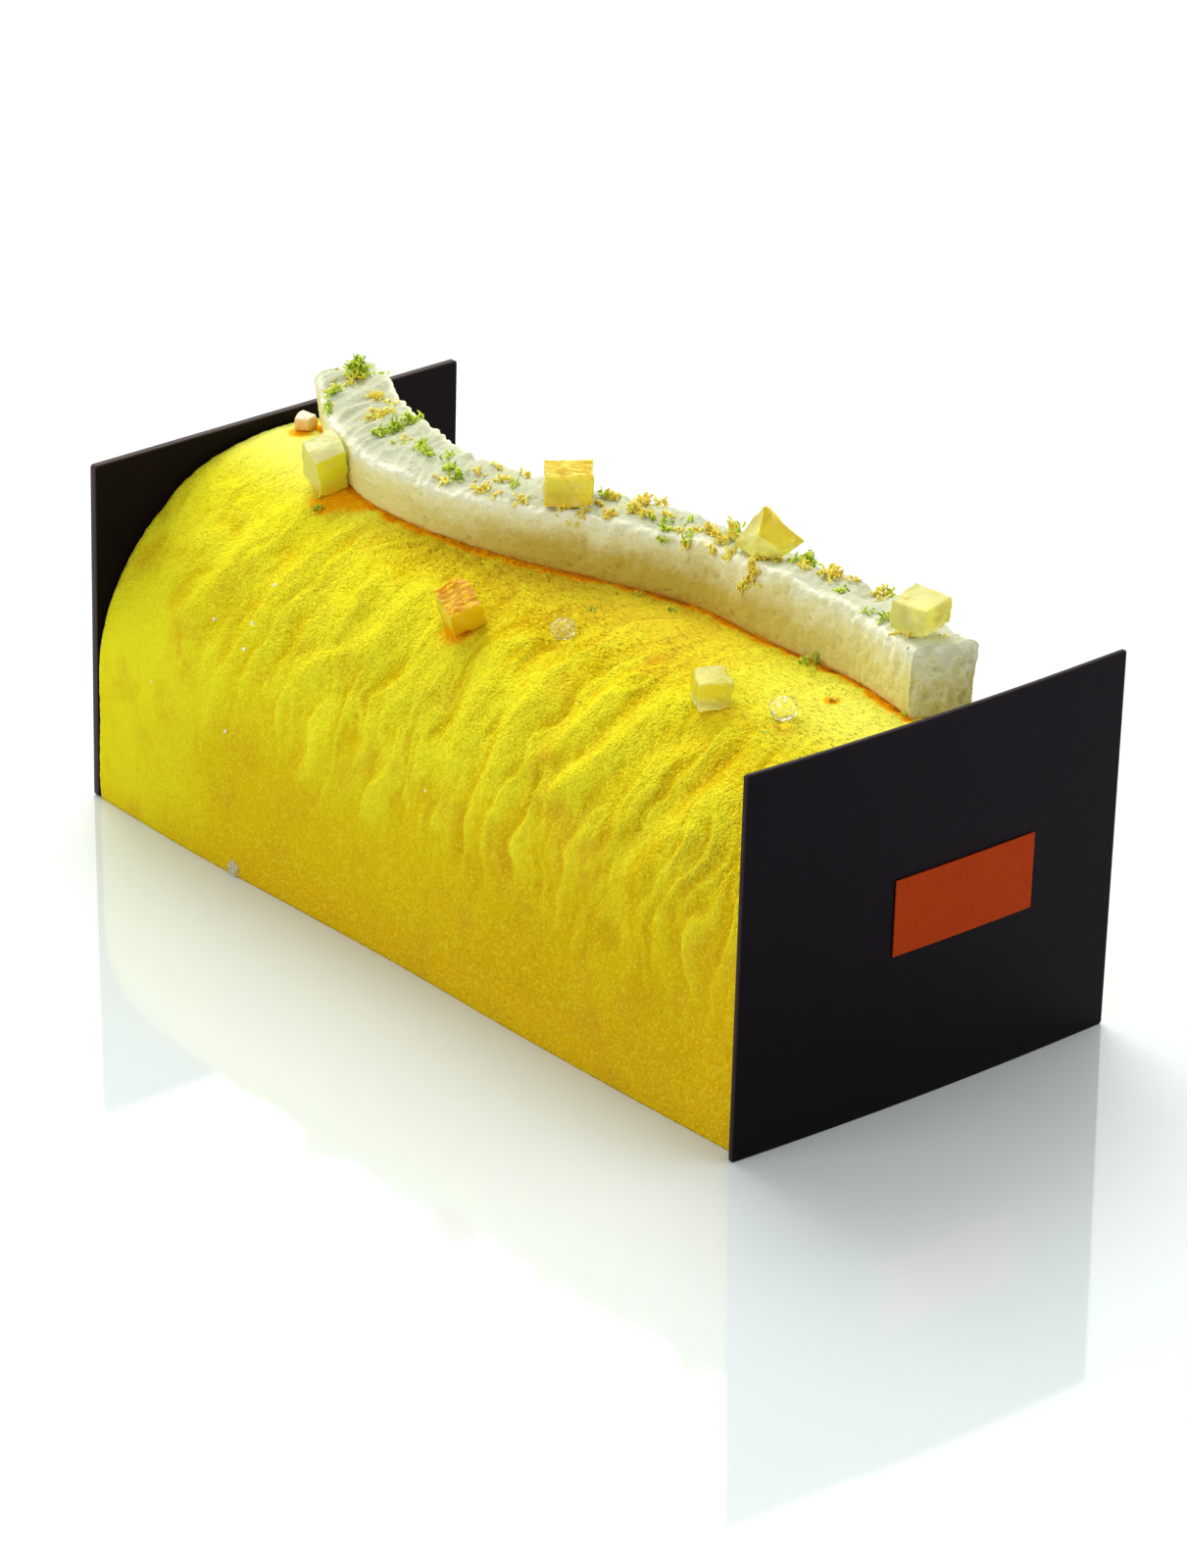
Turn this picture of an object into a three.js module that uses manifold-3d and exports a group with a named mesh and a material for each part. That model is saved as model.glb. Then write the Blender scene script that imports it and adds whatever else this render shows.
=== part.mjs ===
// Yule log cake: a lemon log with a velvet spray coat between two dark chocolate end plates.
// A curved bar of soft meringue lies along its crest, with candied citrus pieces, two jelly
// beads and citrus zest. Millimetres. +X runs along the log towards the plate with the
// printed field, the long front side faces -Y, +Z is up, and z = 0 is the surface it rests on.

import * as THREE from 'three';
import { ConvexGeometry } from 'three/addons/geometries/ConvexGeometry.js';
import { mergeVertices } from 'three/addons/utils/BufferGeometryUtils.js';
import Module from 'manifold-3d';

const wasm = await Module();
wasm.setup();

// Driving dimensions of the log; the half widths are spread evenly over its length from
// the far plate to the near one, where the log is narrower
const LOG_HALF_WIDTHS = [42.4, 42.8, 41.9, 41.2, 41.3, 40.8, 39.9];
const LOG_MEAN_HALF_WIDTH = 41;
const LOG_REACH = 90;
const LOG_TOP = 64.4;
const LOG_SIDE = 23;
const LOG_FOOT_TUCK = 0.3;
const LOG_FOOT_ROUND = 5;
const LOG_RIM_ROUND = 0.3;

// Driving dimensions of the two end plates; bow and lean are those of thin hand-set chocolate
const PLATE_SPAN = 183.7;
const PLATE_CORNER = 0.6;
const NEAR_PLATE = {
  side: 1, width: 84.3, height: 72, thick: 0.9, centre: 0, yaw: 1, lean: 0.9, bow: 1.1,
};
const FAR_PLATE = {
  side: -1, width: 85.6, height: 67.1, thick: 1.5, centre: 0.5, yaw: -0.8, lean: 0.76, bow: 0,
};
const PRINT_FIELD = { width: 31.4, height: 14.3, centre: 6.4, middle: 36.5, thick: 0.25 };

// Clearances between pieces that touch
const GAP = 0.3;
const BAR_GAP = 0.45;
const PRINT_GAP = 0.1;

// Crests in the spray coat: the girths where one starts and ends, its size, and its places
// along the log, spread evenly between those girths. They are steep towards the far plate.
const CRESTS = [
  { from: 45, to: 60, size: 0.4, places: [-76, -75, -73] },
  { from: 43, to: 72, size: 1, places: [-68.5, -65, -63, -62, -61] },
  { from: 28, to: 42, size: 0.3, places: [-54, -55, -56] },
  { from: 48, to: 66, size: 0.7, places: [-49.5, -49.2, -48] },
  { from: 56, to: 70, size: 0.5, places: [-35.5, -35, -35.5] },
  { from: 44, to: 53, size: 0.6, places: [-34.5, -29.5, -22.5] },
  { from: 52, to: 67, size: 0.7, places: [-30, -31.3, -30, -29.5] },
  { from: 28, to: 42, size: 0.45, places: [-23.5, -23.8, -20.5] },
  { from: 53, to: 69, size: 1.1, places: [-21.2, -19.8, -19, -20] },
  { from: 48, to: 60, size: 0.7, places: [-6.5, -8.5, -10.5] },
  { from: 28, to: 46, size: 0.4, places: [6.5, 3.5, -0.5] },
  { from: 60, to: 74, size: 0.4, places: [3, 4.5, 5] },
  { from: 44, to: 60, size: 0.8, places: [10.5, 8.8, 7] },
  { from: 42, to: 76, size: 1, places: [19, 20, 19, 18.5, 19, 20.5] },
  { from: 24, to: 44, size: 0.4, places: [27, 21.5, 22.5] },
  { from: 50, to: 74, size: 1.2, places: [30.5, 32.5, 33.2, 34, 36] },
  { from: 57, to: 66, size: 0.5, places: [36, 38] },
  { from: 45, to: 73, size: 1.2, places: [34.5, 40, 43.5, 45, 45.5] },
  { from: 44, to: 60, size: 0.5, places: [50.5, 51.5, 52.5] },
  { from: 58, to: 76, size: 0.5, places: [55, 60, 61.5] },
  { from: 40, to: 63, size: 1, places: [60, 62.8, 64.7, 66, 66.5] },
  { from: 22, to: 44, size: 0.45, places: [66, 63.5, 61.5] },
  { from: 38, to: 60, size: 0.6, places: [71.5, 69.5, 70.5] },
];
const CREST_HEIGHT = 1.3;
const CREST_STEEP = 2.6;
const CREST_GENTLE = 6;
const CREST_FADE = 4;
const HOLLOW_DEPTH = 0.45;
const HOLLOW_AWAY = 6;
const HOLLOW_WIDTH = 3;
const BACK_SHIFT = 9;
const BACK_FADE_FROM = 50;
const BACK_FADE_TO = 58;
const SWELL = 0.35;

// The meringue bar: each list is spread evenly over its length and followed smoothly
const BAR_START = -81.6;
const BAR_END = 81.4;
const BAR_ACROSS = [11.7, 1.8, -1.8, 0, 6.3, 13.6, 13.2, 15.1, 10.9];
const BAR_WIDTH = [12.5, 15.8, 13.1, 13.1, 13.4, 12.6, 13.2];
const BAR_HEIGHT = [13, 11.3, 11, 12.4, 13, 13.6, 13.5];
const BAR_LEAN = [-6.9, -9.2, 10.6, 2.9];
const BAR_PINCH = 0.16;
const BAR_ROUGH = 0.25;

// Candied citrus pieces: place, size across, deep and high, and turn, tip and roll in degrees.
// A follow of 1 lays a piece along the slope of the log under it; taper narrows its front.
const CITRUS_PIECES = [
  { name: 'citrus_cube_leaning', on: 'log', at: [-60.4, -11.1], size: [6.7, 6.9, 11.3],
    turn: [74, 0, 18], follow: 1, taper: 0.1, color: 0xe8dd62 },
  { name: 'citrus_cube_rind', on: 'bar', at: [-6.4, 1.9], size: [9, 8.6, 6],
    turn: [49, -3, 2], follow: 0, taper: 0, color: 0xe3c23a },
  { name: 'citrus_wedge', on: 'bar', at: [33.6, 13.4],
    turn: [50, 0, 0], follow: 0, color: 0xdfc93c },
  { name: 'citrus_chunk', on: 'bar', at: [74.9, 11.7], size: [8, 8, 5.7],
    turn: [98, -7, 0], follow: 0, taper: 0.08, color: 0xd9cf52 },
  { name: 'citrus_cube_glowing', on: 'log', at: [-6.9, -22.3], size: [7, 9.4, 5.5],
    turn: [70, 18, -1], follow: 1, taper: 0.02, color: 0xe8861c },
  { name: 'citrus_cube_clear', on: 'log', at: [52, -14.8], size: [6.6, 6.2, 6.2],
    turn: [59, 19, -3], follow: 1, taper: 0.06, color: 0xe9e08a },
  { name: 'citrus_nub', on: 'log', at: [-84.6, 2.8], size: [3.6, 4.4, 3.2],
    turn: [30, 0, 5], follow: 1, taper: 0.1, color: 0xf0cfae },
];
const CITRUS_ROUND = 0.5;
const CITRUS_UNEVEN = 0.45;

// Corners of the cut wedge over the middle of its foot: across, deep and high
const WEDGE_CORNERS = [
  [-0.7, 1.5, 9], [1, 4.5, 6.5], [6.7, 1, 2.2], [4, 4, 0], [-6.2, 2.5, 0.7],
  [-3, 5, 0], [-1.9, -2.5, 5], [1.8, -2.5, 2.4], [-2.9, -1.5, 0.4], [1, -2, 0.2],
];

// Jelly beads on the log
const BEADS = [
  { name: 'jelly_bead_mid', at: [13, -15.4], across: 4.6 },
  { name: 'jelly_bead_near', at: [65.5, -10.5], across: 5 },
];

// Zest on the bar: place along X, share of the bar's width, and number of shreds
const ZEST_ON_BAR = [
  [-76.2, 0.08, 4], [-68.5, -0.4, 2], [-66.7, 0.18, 1], [-58.9, 0.08, 1], [-53.2, 0.2, 3],
  [-42.8, 0.1, 2], [-31, -0.12, 2], [-22.3, -0.3, 1], [-19.6, 0.4, 1], [-3, 0.28, 1],
  [1.7, -0.36, 1], [4.5, -0.1, 2], [3.7, 0.33, 1], [10.6, -0.32, 1], [16.4, -0.38, 1],
  [17.4, -0.05, 1], [21, 0.3, 2], [38.3, 0.23, 1], [46.3, 0.1, 2], [51.8, -0.25, 1],
  [55.1, 0.36, 1], [61.4, -0.38, 1], [66.6, -0.32, 1],
];

// Zest on the log, and the chip of jelly at its foot, which lies on the surface
const ZEST_ON_LOG = [[-59.8, -16.4], [10.4, -6.7], [21.5, 2.3], [52, 5.6]];
const FOOT_CHIP = [-47.6, -40.6, 0.9];
const SHRED = { length: 3, width: 1, thick: 0.7, bend: 0.3, spread: 1.1 };

// Counts of the meshes' rows and columns, and seeds of the uneven shapes
const LOG_ROWS_SIDE = 4;
const LOG_ROWS_ARCH = 32;
const LOG_COLUMNS = 94;
const BAR_STATIONS = 56;
const BAR_POINTS = 20;
const PLATE_COLUMNS = 12;
const ZEST_SEED = 11;
const CITRUS_SEED = 5;

const COLOURS = {
  velvet: { color: 0xe3cf1c, roughness: 0.95 },
  chocolate: { color: 0x1e171a, roughness: 0.4 },
  print: { color: 0xc8540c, roughness: 0.5 },
  meringue: { color: 0xf4f0dc, roughness: 0.9 },
  bead: { color: 0xe6e2a0, roughness: 0.1 },
};

const { degToRad, clamp, lerp, smoothstep } = THREE.MathUtils;
const draw = () => THREE.MathUtils.seededRandom();
const ARCH_RISE = LOG_TOP - LOG_SIDE;
const ARCH_LENGTH = (Math.PI / 2) * Math.sqrt((LOG_MEAN_HALF_WIDTH ** 2 + ARCH_RISE ** 2) / 2);
const HALF_GIRTH = LOG_SIDE + ARCH_LENGTH;

// A closed mesh from a grid of rings: every ring has the same count of points, ends are fans
function loft(rings, startCentre, endCentre) {
  const count = rings[0].length;
  const positions = rings.flat().flatMap((point) => point);
  const index = [];
  for (let ring = 0; ring + 1 < rings.length; ring += 1) {
    for (let step = 0; step < count; step += 1) {
      const a = ring * count + step;
      const b = ring * count + ((step + 1) % count);
      index.push(a, b, b + count, a, b + count, a + count);
    }
  }
  const start = positions.length / 3;
  positions.push(...startCentre, ...endCentre);
  const last = (rings.length - 1) * count;
  for (let step = 0; step < count; step += 1) {
    const next = (step + 1) % count;
    index.push(start, next, step);
    index.push(start + 1, last + step, last + next);
  }
  const geometry = new THREE.BufferGeometry();
  geometry.setAttribute('position', new THREE.Float32BufferAttribute(positions, 3));
  geometry.setIndex(index);
  return geometry;
}

function toSolid(geometry) {
  const bare = geometry.clone();
  bare.deleteAttribute('normal');
  bare.deleteAttribute('uv');
  const merged = mergeVertices(bare);
  const mesh = new wasm.Mesh({
    numProp: 3,
    vertProperties: new Float32Array(merged.attributes.position.array),
    triVerts: new Uint32Array(merged.index.array),
  });
  return new wasm.Manifold(mesh);
}

// The triangles of the largest closed shell, without sealed hollows and loose scraps
function mainShell(triangles, vertexCount) {
  const group = Array.from({ length: vertexCount }, (_, vertex) => vertex);
  const find = (vertex) => {
    let root = vertex;
    while (group[root] !== root) {
      root = group[root];
    }
    group[vertex] = root;
    return root;
  };
  for (let i = 0; i < triangles.length; i += 3) {
    group[find(triangles[i + 1])] = find(triangles[i]);
    group[find(triangles[i + 2])] = find(triangles[i]);
  }
  const sizes = new Map();
  triangles.forEach((vertex) => {
    const root = find(vertex);
    sizes.set(root, (sizes.get(root) ?? 0) + 1);
  });
  const [largest] = [...sizes].sort((a, b) => b[1] - a[1])[0];
  return triangles.filter((vertex) => find(vertex) === largest);
}

// Joins small bits to the piece they lie on
function fuse(geometry, bits) {
  let solid = toSolid(geometry);
  bits.forEach((bit) => {
    solid = solid.add(toSolid(bit));
  });
  const mesh = solid.getMesh();
  const joined = new THREE.BufferGeometry();
  joined.setAttribute('position', new THREE.BufferAttribute(new Float32Array(mesh.vertProperties), 3));
  joined.setIndex([...mainShell(mesh.triVerts, mesh.vertProperties.length / 3)]);
  return joined;
}

// Value at share t of a list that is spread evenly and followed by a smooth curve
function along(values, t) {
  const place = clamp(t, 0, 1) * (values.length - 1);
  const cell = Math.min(Math.floor(place), values.length - 2);
  const u = place - cell;
  const [p1, p2] = [values[cell], values[cell + 1]];
  const p0 = cell > 0 ? values[cell - 1] : 2 * p1 - p2;
  const p3 = cell + 2 < values.length ? values[cell + 2] : 2 * p2 - p1;
  const straight = p2 - p0;
  const square = 2 * p0 - 5 * p1 + 4 * p2 - p3;
  const cube = 3 * p1 - p0 - 3 * p2 + p3;
  return p1 + 0.5 * u * (straight + u * (square + u * cube));
}

// X of a plate's inner face at a height z and a place y across
function plateFace(plate, y, z) {
  const across = y - plate.centre;
  const foot = plate.side * (PLATE_SPAN / 2 - plate.thick);
  const bow = plate.bow * (1 - (2 * across / plate.width) ** 2);
  return foot + bow + across * Math.tan(degToRad(plate.yaw)) + z * Math.tan(degToRad(plate.lean));
}

// Relief of the coat, outwards, at a place along the log and a girth from the front foot
function relief(x, girth) {
  const near = Math.min(girth, 2 * HALF_GIRTH - girth);
  const back = girth > HALF_GIRTH;
  const shown = back ? 1 - smoothstep(near, BACK_FADE_FROM, BACK_FADE_TO) : 1;
  let crests = 0;
  CRESTS.forEach(({ from, to, size, places }) => {
    const rise = smoothstep(near, from - CREST_FADE, from + CREST_FADE);
    const fall = 1 - smoothstep(near, to - CREST_FADE, to + CREST_FADE);
    const away = x - along(places, (near - from) / (to - from)) + (back ? BACK_SHIFT : 0);
    const reach = away < 0 ? CREST_STEEP : CREST_GENTLE;
    const crest = Math.exp(-(Math.abs(away / reach) ** 1.7));
    const hollow = HOLLOW_DEPTH * Math.exp(-(((away + HOLLOW_AWAY) / HOLLOW_WIDTH) ** 2));
    crests += size * rise * fall * (crest - hollow);
  });
  const swell = Math.sin(x / 15 + near / 10) * Math.sin(near / 16 - x / 31);
  return CREST_HEIGHT * crests * shown + SWELL * swell * smoothstep(near, 0, 12);
}

function halfWidth(x) {
  return along(LOG_HALF_WIDTHS, (x + LOG_REACH) / (2 * LOG_REACH));
}

// A point of the log's section at a girth from the front foot, moved outwards by the relief
function logPoint(x, girth, inset = 0) {
  const near = Math.min(girth, 2 * HALF_GIRTH - girth);
  const side = girth <= HALF_GIRTH ? -1 : 1;
  const out = relief(x, girth) - inset;
  const half = halfWidth(x) + out;
  if (near <= LOG_SIDE) {
    const tuck = LOG_FOOT_TUCK * Math.max(0, 1 - near / LOG_FOOT_ROUND) ** 2;
    return [side * (half - tuck), near];
  }
  const angle = (Math.PI / 2) * (near - LOG_SIDE) / ARCH_LENGTH;
  const y = side * half * Math.cos(angle);
  const z = LOG_SIDE + (ARCH_RISE + out) * Math.sin(angle);
  return [y, z];
}

// Height of the log's surface over a place in plan
function logHeight(x, y) {
  let angle = 0;
  let out = 0;
  for (let pass = 0; pass < 3; pass += 1) {
    angle = Math.acos(clamp(Math.abs(y) / (halfWidth(x) + out), 0, 1));
    const near = LOG_SIDE + ARCH_LENGTH * angle / (Math.PI / 2);
    out = relief(x, y < 0 ? near : 2 * HALF_GIRTH - near);
  }
  return LOG_SIDE + (ARCH_RISE + out) * Math.sin(angle);
}

function logSlope(y) {
  const share = y / LOG_MEAN_HALF_WIDTH;
  return Math.atan(ARCH_RISE * share / LOG_MEAN_HALF_WIDTH / Math.sqrt(1 - share ** 2));
}

// The log: rings of the section from the far plate to the near one
function logGeometry() {
  const girths = [];
  for (let row = 0; row < LOG_ROWS_SIDE; row += 1) {
    girths.push(LOG_SIDE * row / LOG_ROWS_SIDE);
  }
  for (let row = 0; row <= LOG_ROWS_ARCH; row += 1) {
    girths.push(LOG_SIDE + 2 * ARCH_LENGTH * row / LOG_ROWS_ARCH);
  }
  for (let row = LOG_ROWS_SIDE - 1; row >= 0; row -= 1) {
    girths.push(2 * HALF_GIRTH - LOG_SIDE * row / LOG_ROWS_SIDE);
  }
  const between = (share, y, z) => {
    const from = plateFace(FAR_PLATE, y, z) + GAP;
    return lerp(from, plateFace(NEAR_PLATE, y, z) - GAP, share);
  };
  const rings = [];
  for (let column = 0; column <= LOG_COLUMNS; column += 1) {
    const share = column / LOG_COLUMNS;
    const rim = column === 0 || column === LOG_COLUMNS ? LOG_RIM_ROUND : 0;
    rings.push(girths.toReversed().map((girth) => {
      const x = between(share, ...logPoint(0, girth));
      const [y, z] = logPoint(x, girth, rim);
      return [between(share, y, z), y, z];
    }));
  }
  const farCentre = [plateFace(FAR_PLATE, 0, 0) + GAP, 0, 0];
  const nearCentre = [plateFace(NEAR_PLATE, 0, 0) - GAP, 0, 0];
  return loft(rings, farCentre, nearCentre);
}

// An end plate: a thin slab with rounded corners that follows its own bow, yaw and lean
function plateGeometry(plate, width, height, middle, thick, offset, corner) {
  const half = width / 2;
  const rings = [];
  for (let column = 0; column <= PLATE_COLUMNS; column += 1) {
    const swing = -Math.cos(Math.PI * column / PLATE_COLUMNS);
    const y = middle.y + half * swing;
    const into = Math.max(0, Math.abs(half * swing) - (half - corner));
    const cut = corner - Math.sqrt(Math.max(0, corner ** 2 - into ** 2));
    const low = middle.z - height / 2 + cut;
    const high = middle.z + height / 2 - cut;
    rings.push([
      [plateFace(plate, y, low) + offset, y, low],
      [plateFace(plate, y, high) + offset, y, high],
      [plateFace(plate, y, high) + offset + thick, y, high],
      [plateFace(plate, y, low) + offset + thick, y, low],
    ]);
  }
  const [first, last] = [rings[0], rings[PLATE_COLUMNS]];
  const centre = (ring) => [0, 1, 2].map((axis) => ring.reduce((sum, p) => sum + p[axis], 0) / 4);
  return loft(rings, centre(first), centre(last));
}

function endPlate(plate) {
  const { width, height, thick, centre } = plate;
  const middle = { y: centre, z: height / 2 };
  const offset = plate.side > 0 ? 0 : -thick;
  return plateGeometry(plate, width, height, middle, thick, offset, PLATE_CORNER);
}

function printPanel() {
  const { width, height, centre, middle, thick } = PRINT_FIELD;
  const place = { y: centre, z: middle };
  return plateGeometry(NEAR_PLATE, width, height, place, thick, NEAR_PLATE.thick + PRINT_GAP, 0);
}

// The bar's frame at share t of its length: foot centre, unit vectors across and up, and size
function barFrame(t) {
  const step = 0.01;
  const x = lerp(BAR_START, BAR_END, t);
  const y = along(BAR_ACROSS, t);
  const rise = along(BAR_ACROSS, Math.min(1, t + step)) - along(BAR_ACROSS, Math.max(0, t - step));
  const run = (BAR_END - BAR_START) * (Math.min(1, t + step) - Math.max(0, t - step));
  const turn = Math.atan2(rise, run);
  const lean = degToRad(along(BAR_LEAN, t));
  const up = new THREE.Vector3(0, Math.sin(lean), Math.cos(lean));
  const across = new THREE.Vector3(0, Math.cos(lean), -Math.sin(lean));
  across.multiplyScalar(Math.cos(turn)).setX(-Math.sin(turn));
  const foot = new THREE.Vector3(x, y, logHeight(x, y) + BAR_GAP);
  return { foot, across, up, width: along(BAR_WIDTH, t), height: along(BAR_HEIGHT, t) };
}

// A point of the bar: v from -0.5 to 0.5 across, h from 0 at the foot to 1 at the top
function barPoint(t, v, h) {
  const { foot, across, up, width, height } = barFrame(t);
  const x = lerp(BAR_START, BAR_END, t);
  const rough = BAR_ROUGH * (Math.sin(x / 1.9 + 5 * v) + Math.sin(x / 3.1 - 3 * v));
  const top = foot.clone().addScaledVector(across, v * width);
  top.addScaledVector(up, height + rough);
  const base = foot.clone().addScaledVector(across, width * (v - BAR_PINCH * Math.max(0, v)));
  base.z = logHeight(base.x, base.y) + BAR_GAP;
  return base.lerp(top, h);
}

function barGeometry() {
  const rings = [];
  for (let station = 0; station <= BAR_STATIONS; station += 1) {
    const t = station / BAR_STATIONS;
    const ring = [];
    for (let step = 0; step < BAR_POINTS; step += 1) {
      const angle = 2 * Math.PI * (step + 0.5) / BAR_POINTS;
      const [c, s] = [Math.cos(angle), Math.sin(angle)];
      const round = 1 / Math.max(Math.abs(c), Math.abs(s)) * 0.97 + 0.03;
      ring.push(barPoint(t, 0.5 * c * round, 0.5 + 0.5 * s * round).toArray());
    }
    rings.push(ring);
  }
  return loft(rings, barPoint(0, 0, 0.5).toArray(), barPoint(1, 0, 0.5).toArray());
}

// A shred of zest: a thin bent strip
function shredGeometry(length) {
  const { width, thick, bend } = SHRED;
  const shred = new THREE.BoxGeometry(length, width, thick, 2, 1, 1);
  const position = shred.attributes.position;
  for (let i = 0; i < position.count; i += 1) {
    const share = 2 * position.getX(i) / length;
    position.setZ(i, position.getZ(i) + bend * (1 - share ** 2));
    position.setY(i, position.getY(i) + bend * share * Math.abs(share));
  }
  return shred;
}

function zestAt(point, count) {
  const bits = [];
  for (let number = 0; number < count; number += 1) {
    const shred = shredGeometry(SHRED.length * (0.75 + 0.5 * draw()));
    shred.rotateX(0.7 * (draw() - 0.5));
    shred.rotateZ(Math.PI * draw());
    const away = SHRED.spread * (count - 1) / 2;
    shred.translate(point.x + away * (draw() - 0.5), point.y + away * (draw() - 0.5), point.z);
    bits.push(shred);
  }
  return bits;
}

// A candied piece: the cut wedge, or a box with rounded edges, uneven corners and a narrower front
function citrusGeometry({ size, taper }) {
  if (!size) {
    return new ConvexGeometry(WEDGE_CORNERS.map((corner) => new THREE.Vector3(...corner)));
  }
  const [width, depth, height] = size;
  const box = new THREE.BoxGeometry(width, depth, height, 3, 3, 3);
  const position = box.attributes.position;
  const half = new THREE.Vector3(width, depth, height).multiplyScalar(0.5);
  const radius = Math.min(CITRUS_ROUND, width / 5);
  const inner = half.clone().subScalar(radius);
  const shifts = Array.from({ length: 8 }, () => [draw() - 0.5, draw() - 0.5, draw() - 0.5]);
  const point = new THREE.Vector3();
  for (let i = 0; i < position.count; i += 1) {
    point.fromBufferAttribute(position, i);
    const core = point.clone().clamp(inner.clone().negate(), inner);
    point.sub(core).setLength(radius).add(core);
    const narrow = 1 - taper * (0.5 - point.y / depth);
    const share = point.clone().divide(half).multiplyScalar(0.5).addScalar(0.5);
    const move = new THREE.Vector3();
    shifts.forEach((shift, corner) => {
      const weight = (corner & 1 ? share.x : 1 - share.x)
        * (corner & 2 ? share.y : 1 - share.y)
        * (corner & 4 ? share.z : 1 - share.z);
      move.addScaledVector(new THREE.Vector3(...shift), weight * 2 * CITRUS_UNEVEN * width / 8);
    });
    point.multiply(new THREE.Vector3(narrow, 1, narrow)).add(move);
    position.setXYZ(i, point.x, point.y, point.z);
  }
  return box;
}

// Lowers a geometry until it clears the surface of the support under it by the gap
function settle(geometry, support) {
  const ray = new THREE.Raycaster();
  const down = new THREE.Vector3(0, 0, -1);
  const point = new THREE.Vector3();
  const position = geometry.attributes.position;
  let drop = Infinity;
  for (let i = 0; i < position.count; i += 1) {
    point.fromBufferAttribute(position, i);
    ray.set(point, down);
    const [hit] = ray.intersectObject(support);
    drop = Math.min(drop, hit ? hit.distance : Infinity);
  }
  geometry.translate(0, 0, GAP - drop);
}

const cake = new THREE.Group();

function addPiece(name, geometry, look) {
  const bare = geometry.clone();
  bare.deleteAttribute('normal');
  bare.deleteAttribute('uv');
  const merged = mergeVertices(bare);
  merged.computeVertexNormals();
  const material = new THREE.MeshStandardMaterial({ metalness: 0, side: THREE.DoubleSide, ...look });
  const mesh = new THREE.Mesh(merged, material);
  mesh.name = name;
  cake.add(mesh);
  return mesh;
}

THREE.MathUtils.seededRandom(ZEST_SEED);
const logZest = ZEST_ON_LOG.map(([x, y]) => new THREE.Vector3(x, y, logHeight(x, y) + 0.1));
const logBits = [...logZest, new THREE.Vector3(...FOOT_CHIP)].flatMap((point) => zestAt(point, 1));
const log = addPiece('log_body', fuse(logGeometry(), logBits), COLOURS.velvet);

const barZest = ZEST_ON_BAR.flatMap(([x, v, count]) => {
  const t = (x - BAR_START) / (BAR_END - BAR_START);
  return zestAt(barPoint(t, v, 1), count);
});
const bar = addPiece('meringue_bar', fuse(barGeometry(), barZest), COLOURS.meringue);

addPiece('end_plate_near', endPlate(NEAR_PLATE), COLOURS.chocolate);
addPiece('end_plate_far', endPlate(FAR_PLATE), COLOURS.chocolate);
addPiece('print_panel', printPanel(), COLOURS.print);

THREE.MathUtils.seededRandom(CITRUS_SEED);
CITRUS_PIECES.forEach((piece) => {
  const geometry = citrusGeometry(piece);
  const [turn, tip, roll] = piece.turn.map(degToRad);
  const [x, y] = piece.at;
  const rotation = new THREE.Matrix4().makeRotationFromEuler(new THREE.Euler(roll, tip, turn, 'ZYX'));
  geometry.applyMatrix4(rotation);
  geometry.rotateX(-logSlope(y) * piece.follow);
  geometry.translate(x, y, LOG_TOP + 40);
  settle(geometry, piece.on === 'bar' ? bar : log);
  addPiece(piece.name, geometry, { color: piece.color, roughness: 0.25 });
});

BEADS.forEach(({ name, at, across }) => {
  const geometry = new THREE.SphereGeometry(across / 2, 12, 8);
  geometry.rotateX(Math.PI / 2);
  geometry.scale(1, 1, 0.9);
  geometry.translate(at[0], at[1], LOG_TOP + 40);
  settle(geometry, log);
  addPiece(name, geometry, COLOURS.bead);
});

// Stand the cake with the middle of its outline over the origin
const box = new THREE.Box3().setFromObject(cake);
const middle = box.getCenter(new THREE.Vector3());
cake.position.set(-middle.x, -middle.y, -box.min.z);

export default cake;
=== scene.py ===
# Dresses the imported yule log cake: velvet coat, meringue bar, chocolate plates and toppings.
import logging
import math
import random
from dataclasses import dataclass, field
from enum import Enum
from typing import Sequence

import bmesh
import bpy
import numpy as np
from mathutils import Matrix, Vector, noise
from mathutils.bvhtree import BVHTree


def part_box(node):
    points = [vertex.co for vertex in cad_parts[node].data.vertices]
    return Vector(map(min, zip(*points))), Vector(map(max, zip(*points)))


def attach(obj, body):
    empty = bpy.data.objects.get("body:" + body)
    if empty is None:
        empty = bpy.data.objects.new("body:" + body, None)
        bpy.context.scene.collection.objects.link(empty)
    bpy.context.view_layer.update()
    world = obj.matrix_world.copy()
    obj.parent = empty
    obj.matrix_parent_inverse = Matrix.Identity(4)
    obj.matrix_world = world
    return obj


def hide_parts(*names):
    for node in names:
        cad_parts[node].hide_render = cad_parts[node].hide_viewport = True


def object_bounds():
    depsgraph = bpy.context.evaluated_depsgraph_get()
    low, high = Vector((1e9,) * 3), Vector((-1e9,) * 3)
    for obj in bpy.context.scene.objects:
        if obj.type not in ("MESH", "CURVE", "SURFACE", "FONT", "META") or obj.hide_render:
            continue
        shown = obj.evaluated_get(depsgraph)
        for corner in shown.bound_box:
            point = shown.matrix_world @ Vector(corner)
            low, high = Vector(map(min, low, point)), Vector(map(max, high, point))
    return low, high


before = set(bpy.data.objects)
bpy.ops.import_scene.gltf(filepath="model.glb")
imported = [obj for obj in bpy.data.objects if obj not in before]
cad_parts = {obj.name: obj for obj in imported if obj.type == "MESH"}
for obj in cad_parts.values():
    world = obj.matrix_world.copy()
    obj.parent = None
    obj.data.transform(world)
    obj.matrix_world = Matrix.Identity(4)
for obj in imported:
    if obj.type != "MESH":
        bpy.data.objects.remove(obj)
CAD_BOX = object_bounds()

LOG = logging.getLogger("yule_log")
MM = 0.001
SEED_STEP = 17.3
BODY = "root"

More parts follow.
